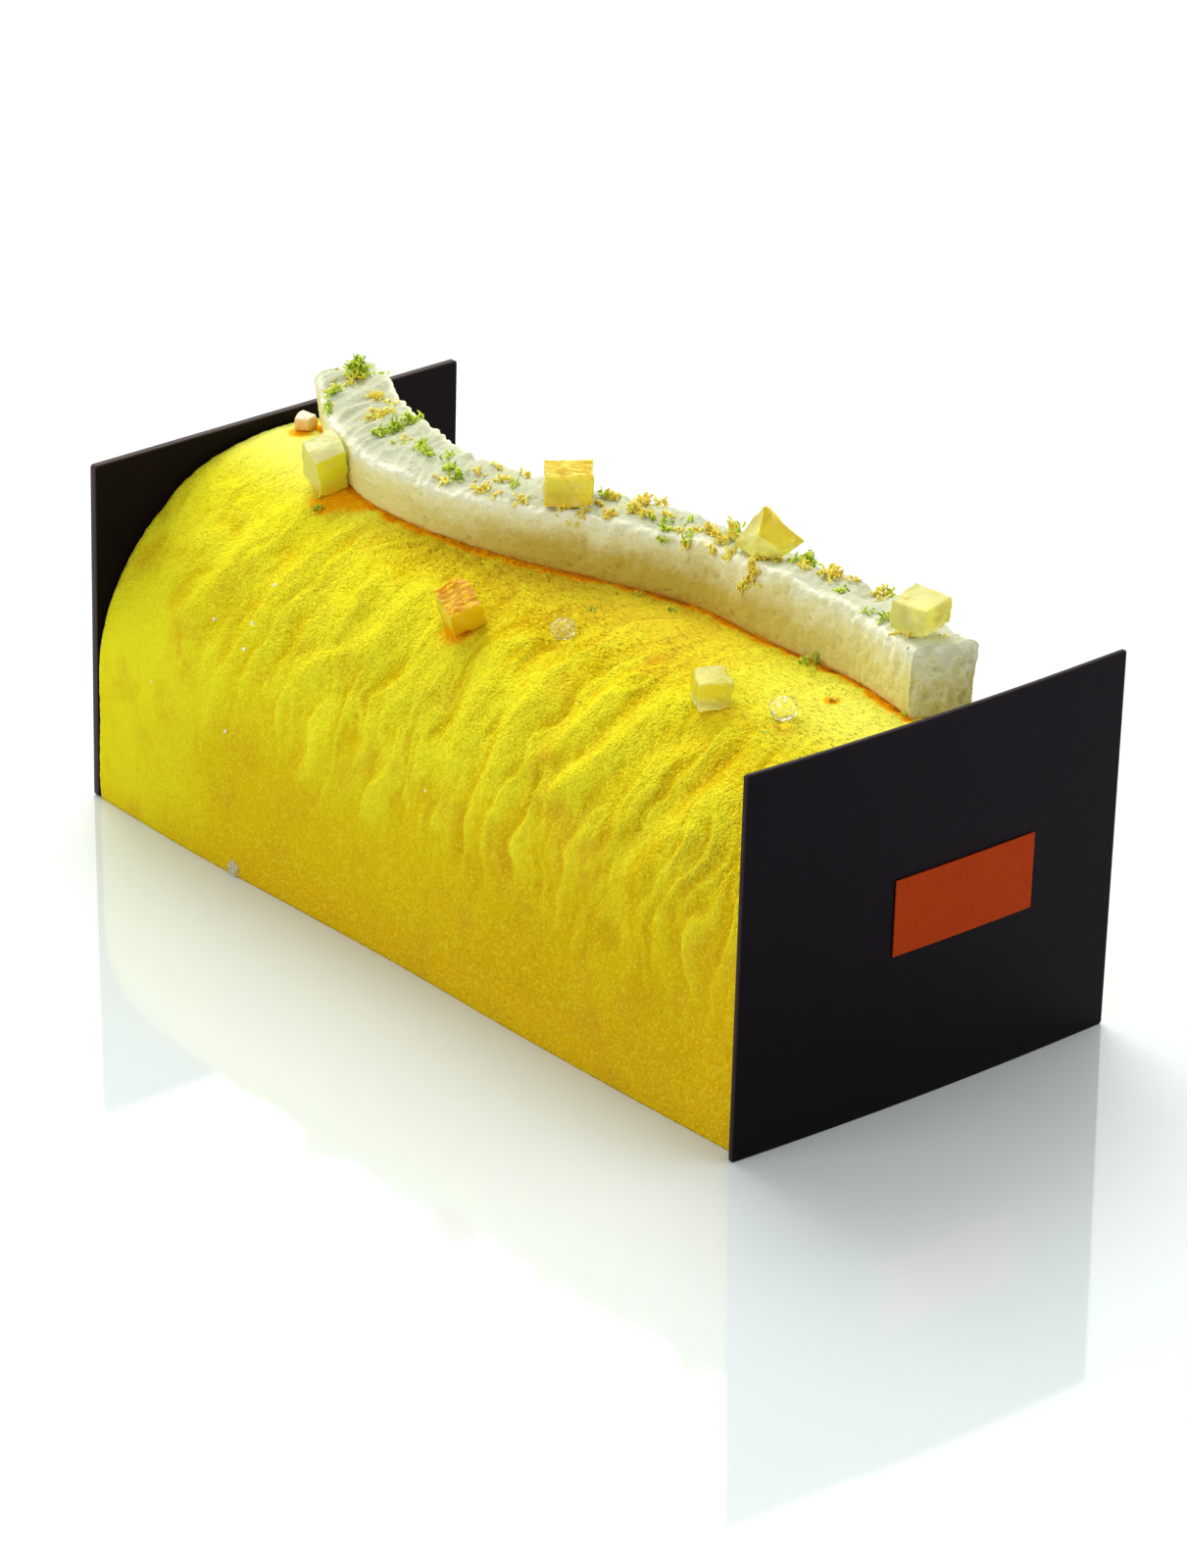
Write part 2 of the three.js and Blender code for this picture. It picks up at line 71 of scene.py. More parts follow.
Colour = tuple[float, float, float]
Place = tuple[float, float, float]
Range = tuple[float, float]
Array = np.ndarray
Socket = bpy.types.NodeSocket
Material = bpy.types.Material
Mesh = bpy.types.Mesh
Piece = bpy.types.Object


# Small helpers


def eased(value: Array | float, low: float, high: float) -> Array:
    """Share from 0 at low to 1 at high, with soft ends."""
    share = np.clip((np.asarray(value, float) - low) / (high - low), 0, 1)
    return share * share * (3 - 2 * share)


def along(values: Sequence[float], share: Array | float) -> Array:
    """Follows an evenly spread list smoothly.

    Args:
        values: the list, spread evenly from share 0 to share 1.
        share: where to read it.

    Returns:
        The value at each share.
    """
    listed = np.asarray(values, float)
    padded = np.concatenate([[2 * listed[0] - listed[1]], listed, [2 * listed[-1] - listed[-2]]])
    place = np.clip(share, 0, 1) * (len(listed) - 1)
    cell = np.minimum(np.floor(place).astype(int), len(listed) - 2)
    u = place - cell
    before, start, end, after = (padded[cell + step] for step in range(4))
    square = 2 * before - 5 * start + 4 * end - after
    cube = 3 * start - before - 3 * end + after
    return start + 0.5 * u * (end - before + u * (square + u * cube))


def grain(points: Array, size: Sequence[float], seed: float) -> Array:
    """Smooth noise from about -1 to 1.

    Args:
        points: rows of three coordinates.
        size: length of a bump along each coordinate.
        seed: moves the noise, so that two layers differ.

    Returns:
        One value for each row.
    """
    rows = np.asarray(points, float) / np.asarray(size, float) + seed * SEED_STEP
    return np.array([noise.noise(Vector(row)) for row in rows])


def make_mesh(name: str, rings: Array, ends: Sequence[Array]) -> Mesh:
    """Closed mesh from rings of points, with a fan at each end.

    Args:
        name: name of the mesh.
        rings: array of ring, step and coordinate, in metres.
        ends: the point in the middle of the first ring and that of the last.

    Returns:
        The mesh, shaded smooth.
    """
    count, steps = rings.shape[:2]
    first = np.arange(count - 1)[:, None] * steps
    step = np.arange(steps)[None, :]
    after = (step + 1) % steps
    quads = np.stack([first + step, first + after, first + after + steps, first + step + steps], -1)
    start, end, last = count * steps, count * steps + 1, (count - 1) * steps
    fans = [(start, (k + 1) % steps, k) for k in range(steps)]
    fans += [(end, last + k, last + (k + 1) % steps) for k in range(steps)]
    mesh = bpy.data.meshes.new(name)
    points = np.concatenate([rings.reshape(-1, 3), np.asarray(ends, float)])
    mesh.from_pydata(points.tolist(), [], quads.reshape(-1, 4).tolist() + fans)
    mesh.shade_smooth()
    return mesh


def mesh_of(name: str, work: bmesh.types.BMesh, finish: Material) -> Mesh:
    """Turns a mesh being made into a finished one.

    Args:
        name: name of the mesh.
        work: the mesh being made, which is freed.
        finish: its material.

    Returns:
        The finished mesh.
    """
    mesh = bpy.data.meshes.new(name)
    work.to_mesh(mesh)
    work.free()
    mesh.materials.append(finish)
    return mesh


def put(name: str, mesh: Mesh) -> Piece:
    """Links a new object that holds the mesh.

    Args:
        name: name of the object.
        mesh: its mesh.

    Returns:
        The object.
    """
    piece = bpy.data.objects.new(name, mesh)
    bpy.context.scene.collection.objects.link(piece)
    return piece


def note(mesh: Mesh, name: str, values: Array) -> None:
    """Stores a number or a vector at each point of a mesh.

    Args:
        mesh: the mesh.
        name: the attribute's name.
        values: one number, or three, for each point.
    """
    values = np.asarray(values, np.float32)
    kind, key = ("FLOAT", "value") if values.ndim == 1 else ("FLOAT_VECTOR", "vector")
    mesh.attributes.new(name, kind, "POINT").data.foreach_set(key, values.ravel())


def read(mesh: Mesh, what: str) -> Array:
    """Reads three numbers from every point of a mesh.

    Args:
        mesh: the mesh.
        what: Blender's name of the numbers.

    Returns:
        A row for each point.
    """
    flat = np.empty(len(mesh.vertices) * 3, np.float32)
    mesh.vertices.foreach_get(what, flat)
    return flat.reshape(-1, 3).astype(float)


def points_of(mesh: Mesh) -> Array:
    """Every point of a mesh, in metres."""
    return read(mesh, "co")


def normals_of(mesh: Mesh) -> Array:
    """The outward direction at every point of a mesh."""
    return read(mesh, "normal")


def move_points(mesh: Mesh, points: Array) -> None:
    """Puts every point of a mesh at a new place, in metres."""
    mesh.vertices.foreach_set("co", np.asarray(points, np.float32).ravel())
    mesh.update()


class Sheet:
    """A node tree being drawn: each call adds a node and links or sets its inputs."""

    def __init__(self, tree: bpy.types.NodeTree) -> None:
        """Keeps the tree."""
        self.tree = tree

    def add(self, kind: str, inputs: dict | None = None, **settings: object) -> bpy.types.Node:
        """Adds a node.

        Args:
            kind: Blender's name of the node type.
            inputs: values or sockets by the input's name or number.
            settings: the node's own properties.

        Returns:
            The node.
        """
        node = self.tree.nodes.new(kind)
        for key, value in settings.items():
            setattr(node, key, value)
        for key, value in (inputs or {}).items():
            self.feed(node.inputs[key], value)
        return node

    def feed(self, socket: Socket, value: object) -> None:
        """Links a socket, or sets it when the value is a plain one.

        Args:
            socket: the socket to fill.
            value: another socket or a plain value.
        """
        if isinstance(value, Socket):
            self.tree.links.new(value, socket)
        else:
            socket.default_value = value

    def math(self, operation: str, *values: object) -> Socket:
        """Adds a Math node and gives its output."""
        return self.add("ShaderNodeMath", dict(enumerate(values)), operation=operation).outputs[0]

    def times(self, first: object, second: object) -> Socket:
        """One value times another."""
        return self.math("MULTIPLY", first, second)

    def plus(self, first: object, second: object) -> Socket:
        """One value and another."""
        return self.math("ADD", first, second)

    def less(self, first: object, second: object) -> Socket:
        """One value less another."""
        return self.math("SUBTRACT", first, second)

    def span(self, value: object, low: float, high: float, to: Range = (0, 1)) -> Socket:
        """Maps a range to another with soft ends.

        Args:
            value: the socket to read.
            low: the value that becomes the first end.
            high: the value that becomes the second end.
            to: both ends of the new range.

        Returns:
            The new value's socket.
        """
        inputs = {"Value": value, "From Min": low, "From Max": high, "To Min": to[0], "To Max": to[1]}
        node = self.add("ShaderNodeMapRange", inputs, interpolation_type="SMOOTHSTEP")
        return node.outputs["Result"]


class Shader(Sheet):
    """A material being drawn."""

    noise_roughness = 0.55

    def __init__(self, name: str) -> None:
        """Starts a material with an empty Principled shader.

        Args:
            name: name of the material.
        """
        self.material = bpy.data.materials.new(name)
        self.material.use_nodes = True
        super().__init__(self.material.node_tree)
        self.surface = self.tree.nodes["Principled BSDF"]

    def set(self, **inputs: object) -> None:
        """Sets the shader's own sockets, named with underscores for spaces."""
        for key, value in inputs.items():
            self.feed(self.surface.inputs[key.replace("_", " ")], value)

    def place(self) -> Socket:
        """The Object coordinates."""
        return self.add("ShaderNodeTexCoord").outputs["Object"]

    def attribute(self, name: str, output: str = "Fac") -> Socket:
        """A value that the mesh holds."""
        return self.add("ShaderNodeAttribute", attribute_name=name).outputs[output]

    def stretched(self, place: Socket, scale: Sequence[float]) -> Socket:
        """Coordinates scaled along each axis."""
        return self.add("ShaderNodeMapping", {"Vector": place, "Scale": scale}).outputs[0]

    def noise(self, place: Socket, scale: float, detail: float) -> Socket:
        """Noise from 0 to 1.

        Args:
            place: the coordinates.
            scale: bumps per metre of the coordinates.
            detail: count of finer layers.

        Returns:
            The noise's socket.
        """
        inputs = {"Vector": place, "Scale": scale, "Detail": detail, "Roughness": self.noise_roughness}
        return self.add("ShaderNodeTexNoise", inputs).outputs[0]

    def mix(self, share: object, first: object, second: object) -> Socket:
        """Mixes two colours.

        Args:
            share: how much of the second colour.
            first: a colour or a socket.
            second: a colour or a socket.

        Returns:
            The colour's socket.
        """
        full = [(*c, 1.0) if isinstance(c, tuple) else c for c in (first, second)]
        node = self.add("ShaderNodeMix", {0: share, 6: full[0], 7: full[1]}, data_type="RGBA")
        return node.outputs[2]

    def bump(self, height: object, depth: float, strength: float, under: object = None) -> Socket:
        """Adds fine relief.

        Args:
            height: the relief from 0 to 1.
            depth: its depth in metres.
            strength: share of the effect.
            under: relief that it is added to.

        Returns:
            The normal's socket.
        """
        inputs = {"Height": height, "Distance": depth, "Strength": strength}
        if under is not None:
            inputs["Normal"] = under
        return self.add("ShaderNodeBump", inputs).outputs[0]


class Recipe(Sheet):
    """A Geometry Nodes tree with named inputs, run once on a piece."""

    def __init__(self, name: str) -> None:
        """Starts an empty tree with a geometry input and output.

        Args:
            name: name of the tree.
        """
        super().__init__(bpy.data.node_groups.new(name, "GeometryNodeTree"))
        for way in ("INPUT", "OUTPUT"):
            self.tree.interface.new_socket("Geometry", in_out=way, socket_type="NodeSocketGeometry")
        self.entry = self.tree.nodes.new("NodeGroupInput")
        self.exit = self.tree.nodes.new("NodeGroupOutput")

    def input(self, name: str, kind: str = "Float") -> Socket:
        """Adds a named input and gives its socket."""
        self.tree.interface.new_socket(name, in_out="INPUT", socket_type=f"NodeSocket{kind}")
        return self.entry.outputs[name]

    def field(self, name: str, kind: str = "FLOAT") -> Socket:
        """A value that the mesh holds."""
        return self.add("GeometryNodeInputNamedAttribute", {"Name": name}, data_type=kind).outputs[0]

    def vector(self, operation: str, **inputs: object) -> Socket:
        """Adds a Vector Math node.

        Args:
            operation: what the node does.
            inputs: the sockets or values a and b, or a and scale.

        Returns:
            The output's socket.
        """
        names = {"a": 0, "b": 1, "scale": "Scale"}
        values = {names[key]: value for key, value in inputs.items()}
        return self.add("ShaderNodeVectorMath", values, operation=operation).outputs[0]

    def noise(self, place: object, seed: object, size: object, detail: float = 2.0) -> bpy.types.Node:
        """Noise from 0 to 1.

        Args:
            place: the coordinates.
            seed: moves the noise.
            size: length of a bump.
            detail: count of finer layers.

        Returns:
            The noise's node.
        """
        inputs = {"Vector": place, "W": seed, "Scale": self.math("DIVIDE", 1.0, size), "Detail": detail}
        return self.add("ShaderNodeTexNoise", inputs, noise_dimensions="4D")

    def end(self, geometry: Socket) -> None:
        """Realizes what the tree made, sets its material and ends the tree.

        Args:
            geometry: what the tree made.
        """
        real = self.add("GeometryNodeRealizeInstances", {"Geometry": geometry}).outputs[0]
        inputs = {"Geometry": real, "Material": self.input("Finish", "Material")}
        dressed = self.add("GeometryNodeSetMaterial", inputs)
        self.tree.links.new(dressed.outputs[0], self.exit.inputs[0])

    def run(self, piece: Piece, values: dict[str, object]) -> None:
        """Runs the tree on a piece and keeps the plain mesh.

        Args:
            piece: the object that is worked on.
            values: a value for each named input.
        """
        modifier = piece.modifiers.new(self.tree.name, "NODES")
        modifier.node_group = self.tree
        for item in self.tree.interface.items_tree:
            if item.in_out == "INPUT" and item.name in values:
                modifier[item.identifier] = values[item.name]
        keep_result(piece)


def keep_result(piece: Piece) -> None:
    """Replaces a piece's mesh with what its modifiers make of it, and removes them.

    Args:
        piece: the object that is worked on.
    """
    graph = bpy.context.evaluated_depsgraph_get()
    graph.update()
    finished = piece.evaluated_get(graph)
    mesh = bpy.data.meshes.new_from_object(finished, preserve_all_data_layers=True, depsgraph=graph)
    piece.modifiers.clear()
    piece.data = mesh


# Finishes


@dataclass(frozen=True)
class VelvetFinish:
    """Lemon velvet spray: matte grains, mustard painted shade in the hollows, folds and lower side, painted
    highlights on the crests and a painted sheen on the crown, tan where it is rubbed, amber where syrup ran
    and where glow and contact shade are painted.
    """

    pale: Colour = (0.86, 0.91, 0.17)
    lemon: Colour = (0.83, 0.78, 0.018)
    mid: Colour = (0.75, 0.58, 0.007)
    ochre: Colour = (0.60, 0.37, 0.004)
    gap: Colour = (0.56, 0.33, 0.004)
    speck: Colour = (0.91, 0.86, 0.035)
    tan: Colour = (0.66, 0.37, 0.016)
    amber: Colour = (0.93, 0.42, 0.003)
    brown: Colour = (0.76, 0.27, 0.004)
    foot: Colour = (0.78, 0.49, 0.008)
    grains_per_m: float = 2100.0
    fold_light_tone: float = 0.9
    crest_highlight_tone: float = 0.40
    patch_tone: float = 0.8
    blush_tone: float = 0.55
    bright_tone: float = 0.75
    dull_tone: float = 0.30
    gap_tone: float = 0.42
    dent_tone: float = 0.08
    patches_per_m: float = 60
    blushes_per_m: float = 95
    worn_per_m: float = 300
    fuzz_per_m: float = 800
    dent_stretch: Place = (0.5, 1.7, 1.0)
    grain_relief: float = 0.00034
    fuzz_relief: float = 0.0009
    dent_relief: float = 0.0005

    def base(self, shader: Shader) -> Socket:
        """Colour of the coat without its grain, with painted shade in hollows and folds, painted highlights
        on crests and a painted sheen on the crown.

        Args:
            shader: the material being drawn.

        Returns:
            The colour's socket.
        """
        place = shader.place()
        patches = shader.less(shader.noise(place, self.patches_per_m, 3), 0.5)
        # painted shade: hollow holds shade painted into the hollows, down the lower side, towards the near
        # end and beside the bar; patches add random tone
        deep = shader.plus(shader.attribute("hollow"), shader.times(patches, self.patch_tone))
        # painted light and shade on the folds: raised folds lighter, low ones darker
        folds = shader.times(shader.attribute("folds"), self.fold_light_tone)
        deep = shader.less(deep, folds)
        colour = shader.mix(shader.span(deep, 0.0, 0.5), self.lemon, self.mid)
        colour = shader.mix(shader.span(deep, 0.5, 1.1), colour, self.ochre)
        # painted highlight on the crests of the folds
        crest = shader.times(shader.span(shader.attribute("folds"), 0.25, 0.75), self.crest_highlight_tone)
        colour = shader.mix(crest, colour, self.speck)
        # painted sheen on the crown
        colour = shader.mix(shader.attribute("pale"), colour, self.pale)
        colour = shader.mix(shader.attribute("foot_warmth"), colour, self.foot)
        blush = shader.span(shader.noise(place, self.blushes_per_m, 4), 0.50, 0.72)
        blush = shader.times(blush, shader.attribute("blush"))
        return shader.mix(shader.times(blush, self.blush_tone), colour, self.tan)

    def build(self) -> Material:
        """Draws the material.

        Returns:
            The material.
        """
        shader = Shader("velvet_coat")
        place = shader.place()
        colour = self.base(shader)
        cells = shader.add("ShaderNodeTexVoronoi", {"Vector": place, "Scale": self.grains_per_m})
        tint = shader.add("ShaderNodeSeparateColor", {0: cells.outputs["Color"]})
        coarse = shader.attribute("coarse")
        bright = shader.times(shader.span(tint.outputs[0], 0.55, 0.95), coarse)
        dull = shader.times(shader.span(tint.outputs[1], 0.6, 1.0), coarse)
        gaps = shader.times(shader.span(cells.outputs["Distance"], 0.35, 0.75), coarse)
        colour = shader.mix(shader.times(bright, self.bright_tone), colour, self.speck)
        colour = shader.mix(shader.times(dull, self.dull_tone), colour, self.ochre)
        colour = shader.mix(shader.times(gaps, self.gap_tone), colour, self.gap)
        unrolled = shader.stretched(shader.attribute("unrolled", "Vector"), self.dent_stretch)
        dents = shader.span(shader.noise(unrolled, 1.0, 1), 0.58, 0.70)
        dents = shader.times(dents, shader.attribute("dents"))
        colour = shader.mix(shader.times(dents, self.dent_tone), colour, self.gap)
        worn = shader.span(shader.noise(place, self.worn_per_m, 4), 0.36, 0.66)
        colour = shader.mix(shader.times(shader.attribute("rubbed"), worn), colour, self.tan)
        # amber: syrup with a painted glow; brown where it is strongest: painted contact shade at the bar's
        # foot
        syrup_glow_and_shade = shader.attribute("syrup_glow_and_shade")
        colour = shader.mix(shader.span(syrup_glow_and_shade, 0.0, 0.6), colour, self.amber)
        colour = shader.mix(shader.span(syrup_glow_and_shade, 0.55, 1.0), colour, self.brown)
        dome = shader.less(1.0, cells.outputs["Distance"])
        depth = shader.times(dome, shader.plus(shader.times(coarse, 0.8), 0.2))
        normal = shader.bump(depth, self.grain_relief, 1.0)
        normal = shader.bump(shader.noise(place, self.fuzz_per_m, 4), self.fuzz_relief, 0.6, normal)
        normal = shader.bump(shader.less(1.0, dents), self.dent_relief, 0.7, normal)
        shader.set(Base_Color=colour, Roughness=1.0, Normal=normal, Specular_IOR_Level=0.0)
        return shader.material


@dataclass(frozen=True)
class ChocolateFinish:
    """Tempered dark chocolate: satin faces with painted shade darker towards the bottom, greyer cut edges."""

    face: Colour = (0.0066, 0.0037, 0.0066)
    low: Colour = (0.0040, 0.0021, 0.0033)
    cut: Colour = (0.062, 0.046, 0.042)
    tint: Colour = (0.9, 0.86, 1.0)
    specular: float = 0.05
    roughness: Range = (0.33, 0.42)
    painted_shade_heights: Range = (0.01, 0.065)

    def build(self) -> Material:
        """Draws the material.

        Returns:
            The material.
        """
        shader = Shader("dark_chocolate")
        place = shader.place()
        height = shader.add("ShaderNodeSeparateXYZ", {0: place}).outputs["Z"]
        # painted shade: faces darker towards the bottom
        colour = shader.mix(shader.span(height, *self.painted_shade_heights), self.low, self.face)
        cloud = shader.span(shader.noise(place, 60, 4), 0.35, 0.75)
        colour = shader.mix(shader.times(cloud, 0.3), colour, self.low)
        colour = shader.mix(shader.attribute("cut"), colour, self.cut)
        rough = shader.span(shader.noise(place, 150, 3), 0.3, 0.7, self.roughness)
        normal = shader.bump(shader.noise(place, 700, 3), 0.00003, 0.5)
        shader.set(Base_Color=colour, Roughness=rough, Normal=normal)
        shader.set(Specular_IOR_Level=self.specular, Specular_Tint=(*self.tint, 1.0))
        return shader.material


@dataclass(frozen=True)
class PrintFinish:
    """Plain field of colour printed on chocolate, with the print's fine grain."""

    ink: Colour = (0.42, 0.040, 0.0008)
    worn: Colour = (0.36, 0.032, 0.0008)
    dots_per_m: float = 1500

    def build(self) -> Material:
        """Draws the material.

        Returns:
            The material.
        """
        shader = Shader("printed_field")
        place = shader.place()
        dots = shader.span(shader.noise(place, self.dots_per_m, 2), 0.4, 0.62)
        cloud = shader.span(shader.noise(place, 120, 2), 0.35, 0.7)
        share = shader.times(shader.plus(dots, cloud), 0.35)
        colour = shader.mix(share, self.ink, self.worn)
        shader.set(Base_Color=colour, Roughness=0.6, Specular_IOR_Level=0.06)
        shader.set(Normal=shader.bump(dots, 0.00003, 0.4))
        return shader.material


@dataclass(frozen=True)
class MeringueFinish:
    """Soft meringue: creamy white with fine pores; painted shade and painted yellow bounce light make it
    cream and khaki towards its foot, and painted shade darkens its top.
    """

    crown: Colour = (0.52, 0.54, 0.355)
    white: Colour = (0.86, 0.86, 0.64)
    pale: Colour = (0.86, 0.84, 0.50)
    cream: Colour = (0.85, 0.78, 0.31)
    khaki: Colour = (0.57, 0.42, 0.060)
    contact: Colour = (0.74, 0.30, 0.015)
    rusty: Colour = (0.60, 0.40, 0.07)
    pores_per_m: float = 1700.0
    flecks_per_m: float = 420
    fleck_tone: float = 0.35

    def build(self) -> Material:
        """Draws the material.

        Returns:
            The material.
        """
        shader = Shader("meringue")
        place = shader.place()
        cloud = shader.times(shader.less(shader.noise(place, 110, 3), 0.5), 0.5)
        mottle = shader.times(shader.less(shader.noise(place, 380, 3), 0.5), 0.35)
        # painted shade and painted yellow bounce light from the log: down darkens and yellows the sides
        # towards the foot
        down = shader.plus(shader.attribute("down"), shader.plus(cloud, mottle))
        deep = shader.mix(shader.attribute("warm"), self.cream, self.khaki)
        colour = shader.mix(shader.span(down, 0.03, 0.3), self.white, self.pale)
        colour = shader.mix(shader.span(down, 0.08, 0.68), colour, deep)
        # painted shade: the top is coloured darker than the sides, against the stronger light on it
        colour = shader.mix(shader.attribute("top"), colour, self.crown)
        pores = shader.add("ShaderNodeTexVoronoi", {"Vector": place, "Scale": self.pores_per_m})
        pit = shader.span(pores.outputs["Distance"], 0.0, 0.45)
        colour = shader.mix(shader.attribute("contact"), colour, self.contact)
        fleck = shader.span(shader.noise(place, self.flecks_per_m, 4), 0.62, 0.74)
        fleck = shader.times(fleck, shader.span(down, 0.15, 0.6))
        colour = shader.mix(shader.times(fleck, self.fleck_tone), colour, self.rusty)
        normal = shader.bump(pit, 0.00025, 0.5)
        normal = shader.bump(shader.noise(place, 700, 4), 0.0007, 0.6, normal)
        shader.set(Base_Color=colour, Roughness=0.85, Normal=normal, Subsurface_Weight=0.2)
        shader.set(Subsurface_Radius=(1.0, 0.85, 0.6), Subsurface_Scale=0.0015, Specular_IOR_Level=0.2)
        return shader.material


@dataclass(frozen=True)
class CandiedFinish:
    """Candied citrus: translucent, with painted light on its sides (lit and shaded colours), a painted glow
    towards the foot, and a net of wrinkles on its rind.
    """

    name: str
    top: Colour
    # painted light: colours of the sides turned away from and towards the camera's right, and a painted glow
    # at the foot
    left: Colour
    right: Colour
    low: Colour
    streak: Colour = (0.95, 0.90, 0.55)
    streaks: float = 0.0
    clear: float = 0.5
    milk: float = 0.3
    cloud: Colour = (0.96, 0.95, 0.62)
    cut_roughness: float = 0.12
    rind_roughness: float = 0.35
    fibre_stretch: Place = (1.3, 3.2, 2.0)

    def build(self) -> Material:
        """Draws the material.

        Returns:
            The material.
        """
        shader = Shader(self.name)
        place = shader.place()
        rind_and_painted_light = shader.attribute("rind_and_painted_light", "Color")
        cloud = shader.span(shader.noise(place, 330, 3), 0.48, 0.72)
        bare = shader.less(1.0, shader.attribute("rind"))
        milky = shader.times(shader.times(cloud, bare), self.milk)
        colour = shader.mix(milky, rind_and_painted_light, self.cloud)
        own = shader.stretched(shader.attribute("own_place", "Vector"), self.fibre_stretch)
        fibres = shader.noise(own, 1.7, 4)
        net = shader.times(shader.span(fibres, 0.50, 0.62), shader.attribute("rind"))
        colour = shader.mix(shader.times(net, self.streaks), colour, self.streak)
        normal = shader.bump(shader.noise(place, 520, 3), 0.0004, 0.35)
        normal = shader.bump(fibres, 0.0005, 0.4, normal)
        rough = (self.cut_roughness, self.cut_roughness + self.rind_roughness * self.streaks)
        rough = shader.span(shader.attribute("rind"), 0.0, 1.0, rough)
        shader.set(Base_Color=colour, Roughness=rough, Normal=normal, IOR=1.34)
        clear = shader.span(shader.attribute("rind"), 0.0, 1.0, (self.clear, self.clear * (1 - self.streaks)))
        shader.set(Transmission_Weight=clear, Specular_IOR_Level=0.12)
        shader.set(Subsurface_Weight=0.8, Subsurface_Scale=0.0016, Subsurface_Radius=(1.0, 0.8, 0.35))
        return shader.material


@dataclass(frozen=True)
class JellyFinish:
    """Nearly clear jelly with pale speckles."""

    clear: Colour = (0.98, 0.97, 0.80)
    speck: Colour = (1.0, 1.0, 0.93)
    through: float = 0.97

    def build(self) -> Material:
        """Draws the material.

        Returns:
            The material.
        """
        shader = Shader("clear_jelly")
        place = shader.place()
        specks = shader.span(shader.noise(place, 1500, 2), 0.60, 0.66)
        normal = shader.bump(shader.noise(place, 900, 2), 0.0003, 0.5)
        colour = shader.mix(specks, self.clear, self.speck)
        shader.set(Base_Color=colour, Roughness=0.05, Normal=normal, IOR=1.36)
        shader.set(Transmission_Weight=shader.span(specks, 0, 1, (self.through, 0.3)))
        return shader.material


@dataclass(frozen=True)
class ZestFinish:
    """Citrus zest: each shred has its own tone between two colours."""

    name: str
    light: Colour
    dark: Colour

    def build(self) -> Material:
        """Draws the material.

        Returns:
            The material.
        """
        shader = Shader(self.name)
        place = shader.place()
        mottle = shader.less(shader.noise(place, 1500, 2), 0.5)
        share = shader.plus(shader.attribute("tone"), shader.times(mottle, 0.9))
        colour = shader.mix(shader.span(share, 0.25, 1.0), self.light, self.dark)
        shader.set(Base_Color=colour, Roughness=0.45)
        shader.set(Subsurface_Weight=0.3, Subsurface_Scale=0.0006, Subsurface_Radius=(1.0, 1.0, 0.4))
        shader.set(Normal=shader.bump(shader.noise(place, 2500, 2), 0.0001, 0.5), Specular_IOR_Level=0.3)
        return shader.material


@dataclass(frozen=True)
class FloorFinish:
    """Pale glossy table top."""

    white: Colour = (0.70, 0.76, 0.75)

    def build(self) -> Material:
        """Draws the material.

        Returns:
            The material.
        """
        shader = Shader("pale_floor")
        shader.set(Base_Color=(*self.white, 1.0), Roughness=0.05, Specular_IOR_Level=0.5, IOR=1.75)
        return shader.material


# Shapes that the source of the part also follows


@dataclass(frozen=True)
class Plate:
    """An end plate in millimetres, before the cake is centred."""

    side: int
    width: float
    height: float
    centre: float
    yaw: float
    lean: float
    bow: float
    thick: float
    span: float = 183.7
    corner: float = 0.6

    def inner_face(self, y: Array | float, z: Array | float) -> Array:
        """X of the face that looks at the cake, at a place across and a height.

        Args:
            y: places across.
            z: heights.

        Returns:
            X in millimetres.
        """
        across = np.asarray(y, float) - self.centre
        foot = self.side * (self.span / 2 - self.thick)
        bow = self.bow * (1 - (2 * across / self.width) ** 2)
        turned = across * math.tan(math.radians(self.yaw))
        return foot + bow + turned + np.asarray(z, float) * math.tan(math.radians(self.lean))


NEAR_PLATE = Plate(side=1, width=84.3, height=72, centre=0, yaw=1, lean=0.9, bow=1.1, thick=0.9)
FAR_PLATE = Plate(side=-1, width=85.6, height=67.1, centre=0.5, yaw=-0.8, lean=0.76, bow=0, thick=1.5)


def centring() -> Vector:
    """Reads how far the part's source moved the cake to centre it from the near plate's box.

    Returns:
        The move in millimetres.
    """
    low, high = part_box("end_plate_near")
    across = -np.cos(np.pi * np.arange(13) / 12) * NEAR_PLATE.width / 2
    reach = float(np.max(NEAR_PLATE.inner_face(across, NEAR_PLATE.height))) + NEAR_PLATE.thick
    return Vector((high.x / MM - reach, (low.y + high.y) / 2 / MM - NEAR_PLATE.centre, 0))


CENTRING = centring()


def in_frame(points: Array) -> Array:
    """Millimetres of the source to metres of the frame."""
    return (np.asarray(points, float) + np.array(CENTRING)) * MM


@dataclass(frozen=True)
class Crest:
    """A crest in the coat: girths where it starts and ends, size, and places along the log between them."""

    start: float
    end: float
    size: float
    places: tuple[float, ...]


